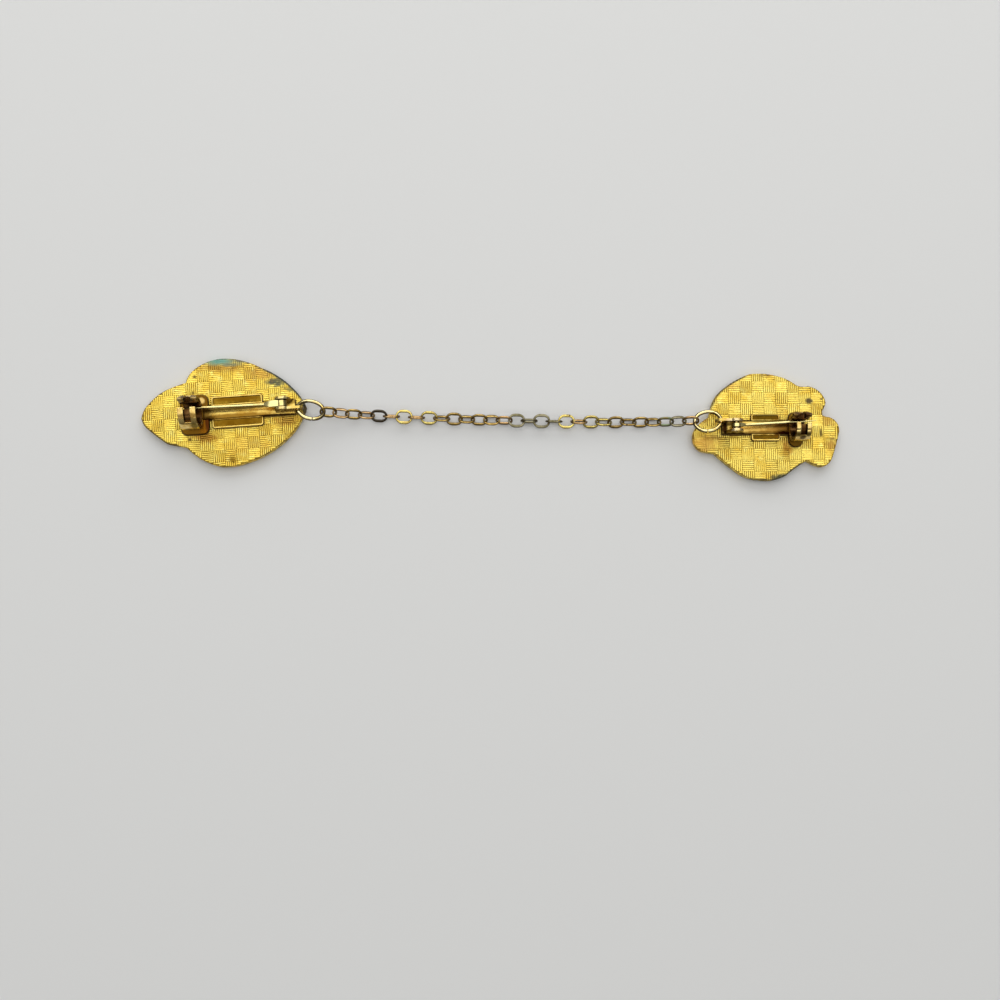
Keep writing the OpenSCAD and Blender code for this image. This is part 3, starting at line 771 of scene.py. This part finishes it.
def lay_rib(bm, middle, run, length, width, chance):
    height = RIB_TOP - RIB_FOOT - chance.uniform(0, RIB_DIP)
    heading = math.atan2(run[1], run[0]) + math.radians(chance.gauss(0, RIB_SWAY))
    shape = rib.copy()
    shape.transform(
        Matrix.Translation((*middle, RIB_FOOT)) @ Matrix.Rotation(heading, 4, "Z")
        @ Matrix.Diagonal((length + LAP, width, height, 1))
    )
    bm.from_mesh(shape)
    bpy.data.meshes.remove(shape)


def lay_weave(bm, side, outline, chance):
    cell, corner = WEAVE[side]["cell"], np.array(WEAVE[side]["corner"])
    slant = math.radians(WEAVE[side]["turn"])
    axes = np.array([[math.cos(slant), math.sin(slant)], [-math.sin(slant), math.cos(slant)]])
    count = 0
    for i in CELLS:
        for j in CELLS:
            run_axis, step_axis = (0, 1) if (i + j) % 2 else (1, 0)
            run, step_way = axes[run_axis], axes[step_axis]
            length, pitch = cell[run_axis], cell[step_axis] / RIBS
            origin = corner + i * cell[0] * axes[0] + j * cell[1] * axes[1]
            overlap = chance.uniform(*RIB_OVERLAP)
            for k in range(RIBS):
                start = origin + (k + 0.5) * pitch * step_way
                span = clear_run(start, run, step_way, length, pitch / 2, outline)
                if span:
                    middle = start + (span[0] + span[1]) / 2 * run
                    lay_rib(bm, middle, run, span[1] - span[0], pitch * overlap, chance)
                    count += 1
    return count


def edge_distance(points, outline):
    """Distance from each point to the nearest side of the outline."""
    sides = np.roll(outline, -1, 0) - outline
    nearest = np.full(len(points), np.inf)
    for start, side in zip(outline, sides):
        share = np.clip((points - start) @ side / (side @ side), 0, 1)
        away = np.linalg.norm(start + share[:, None] * side - points, axis=1)
        nearest = np.minimum(nearest, away)
    return nearest


for side in SIDES:
    plate, outline = plate_blank(side)
    laid = lay_weave(plate, side, outline, random.Random(SEED[side]))
    distances = edge_distance(np.array([v.co[:2] for v in plate.verts]), outline)
    piece = make_piece(
        f"{side}_plate", plate, plate_gilt[side], IN_MM, BROOCHES, [f"{side}_brooch"],
    )
    kept = piece.data.attributes.new("edge_distance", "FLOAT", "POINT")
    kept.data.foreach_set("value", distances)
    print(side, "ribs laid:", laid)

# %% [markdown]
# ## The bar and its wings
# A strip of brass carries everything. Halfway along it two wings spread out for
# the solder. They are pressed hollow, with a rim that catches the light. The
# strip is a block with rolled edges. A wing is a block too, which starts just inside
# the strip: its outer corners are rounded, its top is inset for the rim, and the
# middle is pushed down.

# %% Blocks and their edges
SINK = 0.1


def block(bm, size, middle):
    place = Matrix.Translation(middle) @ Matrix.Diagonal((*size, 1))
    return bmesh.ops.create_cube(bm, size=1, matrix=place)["verts"]


def edges_of(verts):
    return {e for v in verts for e in v.link_edges}


def level(edge, axis):
    """True where both ends of an edge lie at the same x, y or z."""
    first, second = (getattr(v.co, axis) for v in edge.verts)
    return abs(first - second) < NEAR


def steep_edges(bm, angle=60):
    """Edges where two faces meet at more than an angle in degrees."""
    return [e for e in bm.edges if e.is_manifold and e.calc_face_angle() > math.radians(angle)]


def sunk_block(bm, length, width, thickness, x=0, y=0):
    """A block that stands on the plate's back with its foot sunk in a little."""
    return block(bm, (length, width, thickness + SINK), (x, y, (thickness - SINK) / 2))


trial = bmesh.new()
sunk_block(trial, 3, 2, 1)
print("a block has", len(steep_edges(trial)), "steep edges")
trial.free()

# %% Strip and wings
STRIP_T = 0.6
STRIP_ROLL = 0.3
WING_RIM = 0.3
WING_HOLLOW = 0.25
WING_SLOPE = 0.05
WING_LAP = 0.05
WING_CORNER = 0.5
CRISP_EDGE = 0.06
CORNER_STEPS = 4


def add_wing(bm, bar, way):
    outer = way * bar["wing_span"] / 2
    reach = (bar["wing_span"] - STRIP_W) / 2 + WING_LAP
    middle = bar["wing_at"] + bar["wing_len"] / 2
    verts = sunk_block(bm, bar["wing_len"], reach, STRIP_T, middle, outer - way * reach / 2)
    corners = [
        e for e in edges_of(verts)
        if level(e, "x") and all(abs(v.co.y - outer) < NEAR for v in e.verts)
    ]
    rounded = soften(bm, corners, WING_CORNER, CORNER_STEPS)
    faces = {f for e in edges_of({v for f in rounded for v in f.verts}) for f in e.link_faces}
    top = max(faces, key=lambda f: f.calc_center_median().z)
    bmesh.ops.inset_region(bm, faces=[top], thickness=WING_RIM)
    bmesh.ops.inset_region(bm, faces=[top], thickness=WING_SLOPE, depth=-WING_HOLLOW)


def finding_strip(bar):
    bm = bmesh.new()
    verts = sunk_block(bm, bar["length"], STRIP_W, STRIP_T, bar["length"] / 2)
    rolled = [e for e in edges_of(verts) if level(e, "y") and all(v.co.z > 0 for v in e.verts)]
    soften(bm, rolled, STRIP_ROLL, CORNER_STEPS)
    for way in (-1, 1):
        add_wing(bm, bar, way)
    crisp = [e for e in steep_edges(bm, 50) if all(v.co.z > STRIP_T / 3 for v in e.verts)]
    soften(bm, crisp, CRISP_EDGE)
    return bm


for side, bar in BARS.items():
    solder(side, "bar", finding_strip(bar), finding_brass)

# %% [markdown]
# ## The hinge
# Two ears stand up from the bar and hold the rivet that the pin turns on. One of
# them reaches on past the bar's end and has the hole that the jump ring hangs in.
# An ear is sheet metal: its outline is drawn from a few corners and spun arcs,
# filled, and given its thickness.

# %% Ears and rivet
EARS_APART = 2.2
EAR_T = 0.6
EAR_TOP_R = 1.45
EAR_FOOT = (0, 4.3)
PLAIN_EAR_FROM = 0.3
EAR_EDGE = 0.1
LINK_HOLE = (-0.8, 2.6)
LINK_HOLE_R = 0.88
LINK_EAR_R = 1.3
RIVET_R = 0.45
RIVET_HEAD = {"height": 0.22, "foot_r": 0.68, "top_r": 0.5, "edge": 0.12}
HOLE_STEPS = 24


def arc(bm, centre, radius, start, sweep, steps):
    """Corner points along an arc in the XZ plane, as vertices joined by edges."""
    angle = math.radians(start)
    first = bm.verts.new(
        (centre[0] + radius * math.cos(angle), 0, centre[1] + radius * math.sin(angle))
    )
    bmesh.ops.spin(
        bm, geom=[first], cent=(centre[0], 0, centre[1]), axis=(0, -1, 0),
        angle=math.radians(sweep), steps=steps,
    )
    chain = [first]
    while len(chain) <= steps:
        chain += [v for e in chain[-1].link_edges for v in e.verts if v not in chain]
    return chain


def corner(bm, x, z):
    return [bm.verts.new((x, 0, z))]


def join_ends(bm, *parts):
    for part, following in zip(parts, parts[1:] + parts[:1]):
        bm.edges.new((part[-1], following[0]))


def raise_sheet(bm, thickness):
    """Gives a flat sheet in the XZ plane its thickness, along Y."""
    raised = bmesh.ops.extrude_face_region(bm, geom=bm.faces[:])["geom"]
    verts = [v for v in raised if isinstance(v, bmesh.types.BMVert)]
    bmesh.ops.translate(bm, vec=(0, thickness, 0), verts=verts)
    bmesh.ops.recalc_face_normals(bm, faces=bm.faces)


def ear(for_ring):
    sheet = bmesh.new()
    foot = corner(sheet, EAR_FOOT[1], -SINK)
    rivet = (RIVET_AT, RIVET_H)
    if for_ring:
        low = LINK_HOLE[1] - LINK_EAR_R
        meet = 180 - math.degrees(math.asin((LINK_HOLE[1] + LINK_EAR_R - RIVET_H) / EAR_TOP_R))
        join_ends(
            sheet, foot, arc(sheet, rivet, EAR_TOP_R, 0, meet, 14),
            arc(sheet, LINK_HOLE, LINK_EAR_R, 90, 180, 16), corner(sheet, EAR_FOOT[0], low),
            corner(sheet, EAR_FOOT[0], -SINK),
        )
        whole_turn_less_one = 360 - 360 / HOLE_STEPS
        join_ends(sheet, arc(sheet, LINK_HOLE, LINK_HOLE_R, 0, whole_turn_less_one, HOLE_STEPS - 1))
    else:
        top = arc(sheet, rivet, EAR_TOP_R, 0, 180, 18)
        join_ends(sheet, foot, top, corner(sheet, PLAIN_EAR_FROM, -SINK))
    bmesh.ops.triangle_fill(sheet, edges=sheet.edges[:], use_beauty=True, use_dissolve=True)
    raise_sheet(sheet, EAR_T)
    soften(sheet, [e for e in steep_edges(sheet) if level(e, "y")], EAR_EDGE)
    return sheet


def absorb(bm, other, shift=(0, 0, 0)):
    """Adds another bmesh to this one, moved by shift."""
    bmesh.ops.translate(other, vec=shift, verts=other.verts)
    bmesh.ops.recalc_face_normals(other, faces=other.faces)
    joined = bpy.data.meshes.new("joined")
    other.to_mesh(joined)
    other.free()
    bm.from_mesh(joined)
    bpy.data.meshes.remove(joined)


def rod(bm, start, end, radius, end_radius=None, segments=24):
    """A round bar from start to end."""
    start, end = Vector(start), Vector(end)
    heading = Vector((0, 0, 1)).rotation_difference(end - start).to_matrix().to_4x4()
    return bmesh.ops.create_cone(
        bm, cap_ends=True, segments=segments, radius1=radius,
        radius2=radius if end_radius is None else end_radius, depth=(end - start).length,
        matrix=Matrix.Translation((start + end) / 2) @ heading,
    )["verts"]


def hinge(bar):
    bm = bmesh.new()
    middles = [bar["hinge_y"] + way * EARS_APART / 2 for way in (-1, 1)]
    for way, y in zip((-1, 1), middles):
        absorb(bm, ear(way == bar["link_ear"]), (0, y - EAR_T / 2, 0))
        face = y + way * EAR_T / 2
        outer = face + way * RIVET_HEAD["height"]
        head = rod(
            bm, (RIVET_AT, face, RIVET_H), (RIVET_AT, outer, RIVET_H),
            RIVET_HEAD["foot_r"], RIVET_HEAD["top_r"],
        )
        brim = [e for e in edges_of(head) if all(abs(v.co.y - outer) < NEAR for v in e.verts)]
        soften(bm, brim, RIVET_HEAD["edge"])
    rod(bm, (RIVET_AT, middles[0], RIVET_H), (RIVET_AT, middles[1], RIVET_H), RIVET_R)
    return bm


for side, bar in BARS.items():
    solder(side, "hinge", hinge(bar), finding_brass)

# %% [markdown]
# ## The catch
# The catch is a rolled tube, open towards the mouth, with a window round its
# middle for the thumb tab. It stands on a rounded foot. The tube is spun from one
# line of points, the window's faces are deleted, and the sheet gets its thickness
# inwards. Spinning it in three stretches puts points exactly at the window's ends.
# A thicker lip lies beside the mouth. Its points are moved onto a circle, so that
# its ears look round from above.

# %% Rolled sheets
TUBE_WALL = 0.55
TUBE_EDGE = 0.08
WINDOW_W = 1.35
MOUTH = (45, 78)
WINDOW = (-5, 135)
ROLL_STEP = 9


def rolled_sheet(stations, radius, stretches):
    """A sheet rolled about X: stretches are angles from +Y upwards."""
    bm = bmesh.new()
    angle = math.radians(stretches[0])
    line = [bm.verts.new((x, radius * math.cos(angle), radius * math.sin(angle))) for x in stations]
    geom = line + [bm.edges.new(pair) for pair in zip(line, line[1:])]
    for start, end in zip(stretches, stretches[1:]):
        geom = bmesh.ops.spin(
            bm, geom=geom, cent=(0, 0, 0), axis=(1, 0, 0), angle=math.radians(end - start),
            steps=max(2, round((end - start) / ROLL_STEP)),
        )["geom_last"]
    return bm


def thicken(bm, thickness, edge):
    """Gives a rolled sheet its wall, inwards, and softens its edges."""
    bmesh.ops.recalc_face_normals(bm, faces=bm.faces)
    outward = (Vector((0, *f.calc_center_median().yz)).normalized() for f in bm.faces)
    if sum(f.normal.dot(way) for f, way in zip(bm.faces, outward)) < 0:
        bmesh.ops.reverse_faces(bm, faces=bm.faces)
    bmesh.ops.solidify(bm, geom=bm.faces[:], thickness=thickness)
    soften(bm, steep_edges(bm, 50), edge)
    return bm


def cut_out(bm, width, is_gap):
    """Takes the faces out that lie near the middle, where is_gap says so of their angle."""
    faces = []
    for f in bm.faces:
        middle = f.calc_center_median()
        angle = math.degrees(math.atan2(middle.z, middle.y)) % 360
        if abs(middle.x) < width / 2 and is_gap(angle):
            faces.append(f)
    bmesh.ops.delete(bm, geom=faces, context="FACES")


def catch_tube(bar):
    half = bar["tube_len"] / 2
    stations = (-half, -WINDOW_W / 2, WINDOW_W / 2, half)
    stretches = (MOUTH[1], WINDOW[1], 360 + WINDOW[0], 360 + MOUTH[0])
    bm = rolled_sheet(stations, bar["tube_r"], stretches)
    cut_out(bm, WINDOW_W, lambda angle: not WINDOW[1] < angle < 360 + WINDOW[0])
    return thicken(bm, TUBE_WALL, TUBE_EDGE)


test_tube = catch_tube(BARS["left"])
radii = [math.hypot(v.co.y, v.co.z) for v in test_tube.verts]
print("tube wall from", round(min(radii), 3), "to", round(max(radii), 3))
test_tube.free()

# %% The lip beside the mouth
LIP_FROM = -10
LIP_OUT = 0.45
LIP_W = 4.6
LIP_ROUND_R = 2.66
LIP_PULL = 0.86
LIP_LINE = (3, 4)
LIP_EDGE = 0.15


def catch_lip(bar):
    """A thicker sheet beside the mouth. Seen from above its ears are rounded off."""
    reach = bar["tube_r"] + LIP_OUT
    inside = WINDOW_W / 2
    near, far = LIP_LINE
    bm = rolled_sheet(
        (-far, -near, -inside, inside, near, far), reach, (LIP_FROM, WINDOW[0], MOUTH[0]),
    )
    mouth_y = reach * math.cos(math.radians(MOUTH[0]))
    ear_y = mouth_y - math.sqrt(LIP_ROUND_R ** 2 - (LIP_W / 2) ** 2)
    for v in bm.verts:
        if abs(v.co.x) > (inside + near) / 2:
            half = math.sqrt(LIP_ROUND_R ** 2 - (v.co.y - ear_y) ** 2)
            half *= LIP_PULL if math.degrees(math.atan2(v.co.z, v.co.y)) > MOUTH[0] - 1 else 1
            half = half if abs(v.co.x) > (near + far) / 2 else (half + inside) / 2
            v.co.x = math.copysign(half, v.co.x)
    cut_out(bm, WINDOW_W - 0.2, lambda angle: angle < MOUTH[0])
    return thicken(bm, LIP_OUT + TUBE_WALL / 2, LIP_EDGE)


test_lip = catch_lip(BARS["left"])
print("lip:", len(test_lip.faces), "faces")
test_lip.free()

# %% Foot, and the whole catch
FOOT_T = 0.45
FOOT_CORNER = 1.35
FOOT_EDGE = 0.12
CATCH_Y = -0.5


def catch_foot(bar):
    bm = bmesh.new()
    length, span = bar["foot"]
    verts = sunk_block(bm, length, span, FOOT_T)
    soften(bm, [e for e in edges_of(verts) if not level(e, "z")], FOOT_CORNER, 6)
    soften(bm, [e for e in steep_edges(bm) if all(v.co.z > 0 for v in e.verts)], FOOT_EDGE)
    return bm


def catch_axis(bar):
    return (bar["catch_at"], CATCH_Y, FOOT_T - 0.05 + bar["tube_r"])


def catch_body(bar):
    bm = bmesh.new()
    absorb(bm, catch_foot(bar), (bar["catch_at"], bar["foot_y"], 0))
    absorb(bm, catch_tube(bar), catch_axis(bar))
    absorb(bm, catch_lip(bar), catch_axis(bar))
    return bm


for side, bar in BARS.items():
    solder(side, "catch", catch_body(bar), catch_brass)

# %% [markdown]
# ## The turning sleeve
# A second rolled sheet turns inside the tube and locks the pin in. Its thumb tab
# comes out through the window, with a small dimple for the fingernail. The sleeve
# is made as the tube was. The tab is a block whose end is rounded by a bevel, and
# the dimple is an inset face pushed down.

# %% Sleeves
SLEEVE_WALL = 0.45
SLEEVE_EDGE = 0.07
SLEEVE_PLAY = 0.06
SLEEVE_SHORT = 0.1
SLEEVE_GAP = (41, 82)
TAB = {
    "out": 0.35, "root": 0.1, "width": 1.05, "thick": 0.45, "flat": 0.01, "edge": 0.06, "angle": 28,
}
DIMPLE = {"r": 0.2, "brim": 0.04, "slope": 0.05, "depth": 0.03, "lift": 0.004}


def turn(bm, angle, axis):
    bmesh.ops.rotate(bm, cent=(0, 0, 0), matrix=Matrix.Rotation(angle, 3, axis), verts=bm.verts)


def thumb_tab(tube_r):
    bm = bmesh.new()
    width, thick = TAB["width"], TAB["thick"]
    start = tube_r - TUBE_WALL - SLEEVE_PLAY - SLEEVE_WALL + TAB["root"]
    reach = tube_r + TAB["out"]
    verts = block(bm, (width, reach - start, thick), (0, (start + reach) / 2, thick / 2))
    ends = [
        e for e in edges_of(verts) if level(e, "x") and all(v.co.y > reach - NEAR for v in e.verts)
    ]
    soften(bm, ends, width / 2 - TAB["flat"], 6)
    brim = [e for e in steep_edges(bm) if all(v.co.z > thick / 2 for v in e.verts)]
    soften(bm, brim, TAB["edge"])
    dimple = bmesh.ops.create_circle(
        bm, cap_ends=True, segments=16, radius=DIMPLE["r"],
        matrix=Matrix.Translation((0, reach - width / 2, thick + DIMPLE["lift"])),
    )["verts"]
    disc = dimple[0].link_faces[0]
    bmesh.ops.inset_region(bm, faces=[disc], thickness=DIMPLE["brim"], depth=DIMPLE["depth"])
    bmesh.ops.inset_region(bm, faces=[disc], thickness=DIMPLE["slope"], depth=-DIMPLE["depth"])
    turn(bm, math.radians(TAB["angle"]), "X")
    return bm


def catch_sleeve(bar):
    radius = bar["tube_r"] - TUBE_WALL - SLEEVE_PLAY
    half = bar["tube_len"] / 2 - SLEEVE_SHORT
    bm = rolled_sheet((-half, half), radius, (SLEEVE_GAP[1], 360 + SLEEVE_GAP[0]))
    thicken(bm, SLEEVE_WALL, SLEEVE_EDGE)
    absorb(bm, thumb_tab(bar["tube_r"]))
    bmesh.ops.translate(bm, vec=catch_axis(bar), verts=bm.verts)
    return bm


for side, bar in BARS.items():
    make_piece(
        f"{side}_sleeve", catch_sleeve(bar), shaded_sleeve_brass, PLACE[side], f"{side}_catch_sleeve",
        [f"{side}_catch_sleeve"],
    )

# %% [markdown]
# ## The pins
# Each pin is one piece of wire: an eye round the rivet, a flattened shank, a
# straight stem and a sharpened point. The eye is a small section spun once round
# the rivet. The shank is a block that slopes from the top of the eye down to the
# wire and narrows at its end. The stem and point are a round bar and a long cone.

# %% Pins
EYE_R = 1.1
EYE_HOLE_R = 0.5
EYE_EDGE = 0.12
SHANK_DROP = 0.35
SHANK_TAPER = 1.2
SHANK_EDGE = 0.1
STEM_R = 0.31
STEM_LAP = 0.3
POINT_R = 0.06
POINT_LEAD = 0.3


def pin_eye(width):
    bm = bmesh.new()
    half, outer = width / 2, EYE_R - EYE_EDGE
    section = [
        (EYE_HOLE_R, -half), (outer, -half), (EYE_R, -half + EYE_EDGE), (EYE_R, half - EYE_EDGE),
        (outer, half), (EYE_HOLE_R, half),
    ]
    verts = [bm.verts.new((r, y, 0)) for r, y in section]
    edges = [bm.edges.new(pair) for pair in zip(verts, verts[1:] + verts[:1])]
    bmesh.ops.spin(
        bm, geom=verts + edges, cent=(0, 0, 0), axis=(0, 1, 0), angle=2 * math.pi, steps=40,
        use_merge=True,
    )
    return bm


def pin_shank(length, width):
    bm = bmesh.new()
    start = EYE_HOLE_R + 0.05
    verts = block(bm, (length - start, width, 1), ((length + start) / 2, 0, 0))
    far = [v for v in verts if v.co.x > length - NEAR]
    for v in verts:
        top = EYE_R - (EYE_R - STEM_R) * v.co.x / length
        low = STEM_R if v in far else SHANK_DROP
        v.co.z = top if v.co.z > 0 else -low
    bmesh.ops.bisect_plane(
        bm, geom=bm.verts[:] + bm.edges[:] + bm.faces[:],
        plane_co=(length - SHANK_TAPER, 0, 0), plane_no=(1, 0, 0),
    )
    bmesh.ops.scale(bm, vec=(1, 2 * STEM_R / width, 1), verts=far)
    soften(bm, steep_edges(bm, 52), SHANK_EDGE, 3)
    return bm


def bar_pin(bar):
    reach = bar["catch_at"] - RIVET_AT
    shank_at = bar["shank_end"] - RIVET_AT
    sharp_at = reach - bar["tube_len"] / 2 - POINT_LEAD
    wire = pin_shank(shank_at, bar["eye_w"])
    rod(wire, (shank_at - STEM_LAP, 0, 0), (sharp_at, 0, 0), STEM_R, segments=20)
    rod(wire, (sharp_at, 0, 0), (bar["pin_tip"] - RIVET_AT, 0, 0), STEM_R, POINT_R, segments=20)
    bmesh.ops.remove_doubles(wire, verts=wire.verts, dist=NEAR)
    turn(wire, math.atan2(bar["pin_end_y"] - bar["hinge_y"], reach), "Z")
    bm = pin_eye(bar["eye_w"])
    absorb(bm, wire)
    bmesh.ops.translate(bm, vec=(RIVET_AT, bar["hinge_y"], RIVET_H), verts=bm.verts)
    return bm


for side, bar in BARS.items():
    make_piece(
        f"{side}_pin_wire", bar_pin(bar), pin_gilt[side], PLACE[side], f"{side}_pin",
        [f"{side}_pin"],
    )

# %% [markdown]
# ## Measuring a ring or link in the CAD model
# The rings and links are small loops that lie at all angles. Instead of repeating
# those angles, each loop's frame is measured on its CAD solid: its middle, and its
# long, wide and thin directions, weighted by area so that the mesh's own density
# doesn't matter. New loops are then made flat once and set down in these frames.

# %% Frame of a loop
def loop_frame(node):
    mesh = frame["nodes"][node].data
    mesh.calc_loop_triangles()
    places = np.array([v.co for v in mesh.vertices])
    corners = places[np.array([t.vertices for t in mesh.loop_triangles])]
    middles = corners.mean(1)
    areas = np.linalg.norm(
        np.cross(corners[:, 1] - corners[:, 0], corners[:, 2] - corners[:, 0]), axis=1,
    )[:, None]
    centre = (middles * areas).sum(0) / areas.sum()
    spread = (middles - centre) * np.sqrt(areas)
    thin, _, long = np.linalg.eigh(spread.T @ spread)[1].T
    long = long if long[0] > 0 else -long
    thin = thin if thin[2] > 0 else -thin
    return Vector(centre), Vector(long), Vector(thin)


centre, long, thin = loop_frame("link_07")
print("link_07 runs along", [round(c, 3) for c in long])
print("and is thin along", [round(c, 3) for c in thin])

# %% [markdown]
# ## Jump rings
# A jump ring is round wire closed by hand, with a hair's gap where its ends meet.
# A small circle is spun almost all the way round, so the two ends stay open as
# they are on the real ring, and they are capped.

# %% Jump rings
RING_MID_R = 2.785
RING_WIRE_R = 0.41
RING_GAP = 0.14
RING_WIRE_SIDES = 14
RING_STEPS = 72
RING_EDGE = 0.04


def split_ring():
    bm = bmesh.new()
    gap = RING_GAP / RING_MID_R
    place = Matrix.Translation((RING_MID_R, 0, 0)) @ Matrix.Rotation(math.pi / 2, 4, "X")
    bmesh.ops.create_circle(
        bm, cap_ends=False, segments=RING_WIRE_SIDES, radius=RING_WIRE_R, matrix=place,
    )
    bmesh.ops.spin(
        bm, geom=bm.verts[:] + bm.edges[:], cent=(0, 0, 0), axis=(0, 0, 1), angle=2 * math.pi - gap,
        steps=RING_STEPS,
    )
    ends = bmesh.ops.holes_fill(bm, edges=[e for e in bm.edges if e.is_boundary], sides=0)["faces"]
    soften(bm, {e for f in ends for e in f.edges}, RING_EDGE, 1)
    turn(bm, gap / 2, "Z")
    return bm


for side in SIDES:
    centre, _, thin = loop_frame(f"{side}_jump_ring")
    towards_split = Vector((0, -1, 0))
    towards_split = (towards_split - thin * towards_split.dot(thin)).normalized()
    make_piece(
        f"{side}_ring", split_ring(), ring_gilt,
        set_down(centre, towards_split, thin.cross(towards_split), thin),
        BROOCHES, [f"{side}_jump_ring"],
    )

# %% [markdown]
# ## The chain
# The links are ovals of wire, rolled flat, which made their sides wider than
# their ends. One link is made: an outer and an inner oval are bridged, the flat
# band between them gets its thickness, and a bevel rounds it. Thirty copies of it
# take the frames of the CAD links, and the record says which tone each one has.

# %% One link
LINK_SIZE = (3.76, 3.1)
LINK_END = 0.44
LINK_SIDE = 0.64
LINK_T = 0.42
LINK_EDGE = 0.16
OVAL_STEPS = 16


def oval_line(bm, length, width):
    """A closed oval of vertices: half circles joined by straight sides."""
    half = (length - width) / 2
    right = arc(bm, (half, 0), width / 2, -90, 180, OVAL_STEPS)
    left = arc(bm, (-half, 0), width / 2, 90, 180, OVAL_STEPS)
    join_ends(bm, right, left)


def link_shape():
    bm = bmesh.new()
    oval_line(bm, *LINK_SIZE)
    oval_line(bm, LINK_SIZE[0] - 2 * LINK_END, LINK_SIZE[1] - 2 * LINK_SIDE)
    bmesh.ops.bridge_loops(bm, edges=bm.edges[:])
    raise_sheet(bm, LINK_T)
    soften(bm, steep_edges(bm), LINK_EDGE, 3)
    bmesh.ops.translate(bm, vec=(0, -LINK_T / 2, 0), verts=bm.verts)
    turn(bm, math.pi / 2, "X")
    return bm


link = link_shape()
loose = [e for e in link.edges if not e.is_manifold]
size = [max(v.co[k] for v in link.verts) - min(v.co[k] for v in link.verts) for k in range(3)]
print("link:", len(link.faces), "faces,", len(loose), "open edges")
print("link size in mm:", [round(s, 3) for s in size])
link_model = bpy.data.meshes.new("link_model")
link.to_mesh(link_model)
link.free()

# %% Thirty links
slots = {s["node"]: s["material_slot"] for s in frame["record"]["subparts"]}
for node in sorted(n for n in slots if n.startswith("link_")):
    centre, long, thin = loop_frame(node)
    shape = bmesh.new()
    shape.from_mesh(link_model)
    make_piece(
        f"chain_{node}", shape, link_metal[slots[node]],
        set_down(centre, long, thin.cross(long), thin), BROOCHES, [node],
    )

# %% [markdown]
# ## Floor, light and camera
# The object lies on a plain pale floor. Metal shows what it reflects, so the light
# matters more than usual. One softbox hangs overhead, where the flat backs mirror it.
# A second one stands beyond the top of the picture, so soft shadows fall towards the
# viewer. A narrow strip in front gives round pieces one more glint. The sky between
# them is dim, which is what turns the tilted brass brown.

# %% Floor
FLOOR_HALF = 1.5
FLOOR_TONE = "dfdfdd"

bm = bmesh.new()
bmesh.ops.create_grid(bm, x_segments=1, y_segments=1, size=FLOOR_HALF)
floor_mesh = bpy.data.meshes.new("floor")
bm.to_mesh(floor_mesh)
bm.free()
floor = bpy.data.objects.new("floor", floor_mesh)
scene.collection.objects.link(floor)
floor_paint = bpy.data.materials.new("floor_paint")
floor_paint.use_nodes = True
paint = floor_paint.node_tree.nodes["Principled BSDF"].inputs
paint["Base Color"].default_value = tone(FLOOR_TONE)
paint["Roughness"].default_value = 0.8
floor_mesh.materials.append(floor_paint)
print("floor laid,", 2 * FLOOR_HALF, "m wide")

# %% Soft sky
SKY_STEPS = ((0.0, 0.12), (0.3, 0.18), (0.55, 0.24), (0.78, 0.22), (0.88, 0.08), (1.0, 0.08))

world = bpy.data.worlds.new("studio_sky")
scene.world = world
world.use_nodes = True
sky = world.node_tree
upwards = step(sky, "SeparateXYZ", {0: step(sky, "TexCoord", {}, "Generated")}, "Z")
grey = step(sky, "ValToRGB", {"Fac": upwards}, "Color")
stops = grey.node.color_ramp.elements
while len(stops) < len(SKY_STEPS):
    stops.new(0.5)
for stop, (position, level_of_grey) in zip(stops, SKY_STEPS):
    stop.position = position
    stop.color = (level_of_grey, level_of_grey, level_of_grey, 1)
sky.links.new(grey, sky.nodes["Background"].inputs["Color"])
print("sky has", len(stops), "greys")

# %% Lamps
# Each lamp: where it hangs, what it points at, its size and its power in watts
LAMPS = {
    "overhead_softbox": ((0.0, 0.14, 0.8), (0, 0.14, 0), (1.4, 0.76), 4.2),
    "back_softbox": ((0.0, 0.8, 0.5), (0, 0, 0), (1.6, 0.6), 6.3),
    "front_strip": ((0.0, -0.47, 0.65), (0, 0, 0), (1.3, 0.15), 0.74),
}
for name, (place, target, size, power) in LAMPS.items():
    data = bpy.data.lights.new(name, "AREA")
    data.shape = "RECTANGLE"
    data.size, data.size_y = size
    data.energy = power
    light = bpy.data.objects.new(name, data)
    light.location = place
    light.rotation_mode = "QUATERNION"
    light.rotation_quaternion = (Vector(target) - Vector(place)).to_track_quat("-Z", "Y")
    scene.collection.objects.link(light)

# %% Camera
EYE = Vector((-7.36, -38.16, 214.83)) * MM
LOOK = Vector((0.0395, 0.097, -0.9945))
RIGHT = Vector((0.9992, 0, 0.0397))
camera = bpy.data.objects.new("camera", bpy.data.cameras.new("camera"))
camera.data.sensor_width = 36
camera.data.lens = 36
camera.data.clip_start = 0.01
back = -LOOK.normalized()
right = (RIGHT - back * RIGHT.dot(back)).normalized()
camera.matrix_world = set_down(EYE, right, back.cross(right), back, unit=Matrix())
scene.collection.objects.link(camera)
scene.camera = camera
scene.view_settings.view_transform = "Standard"
print("camera at", [round(c / MM, 1) for c in camera.matrix_world.translation], "mm")

# %% [markdown]
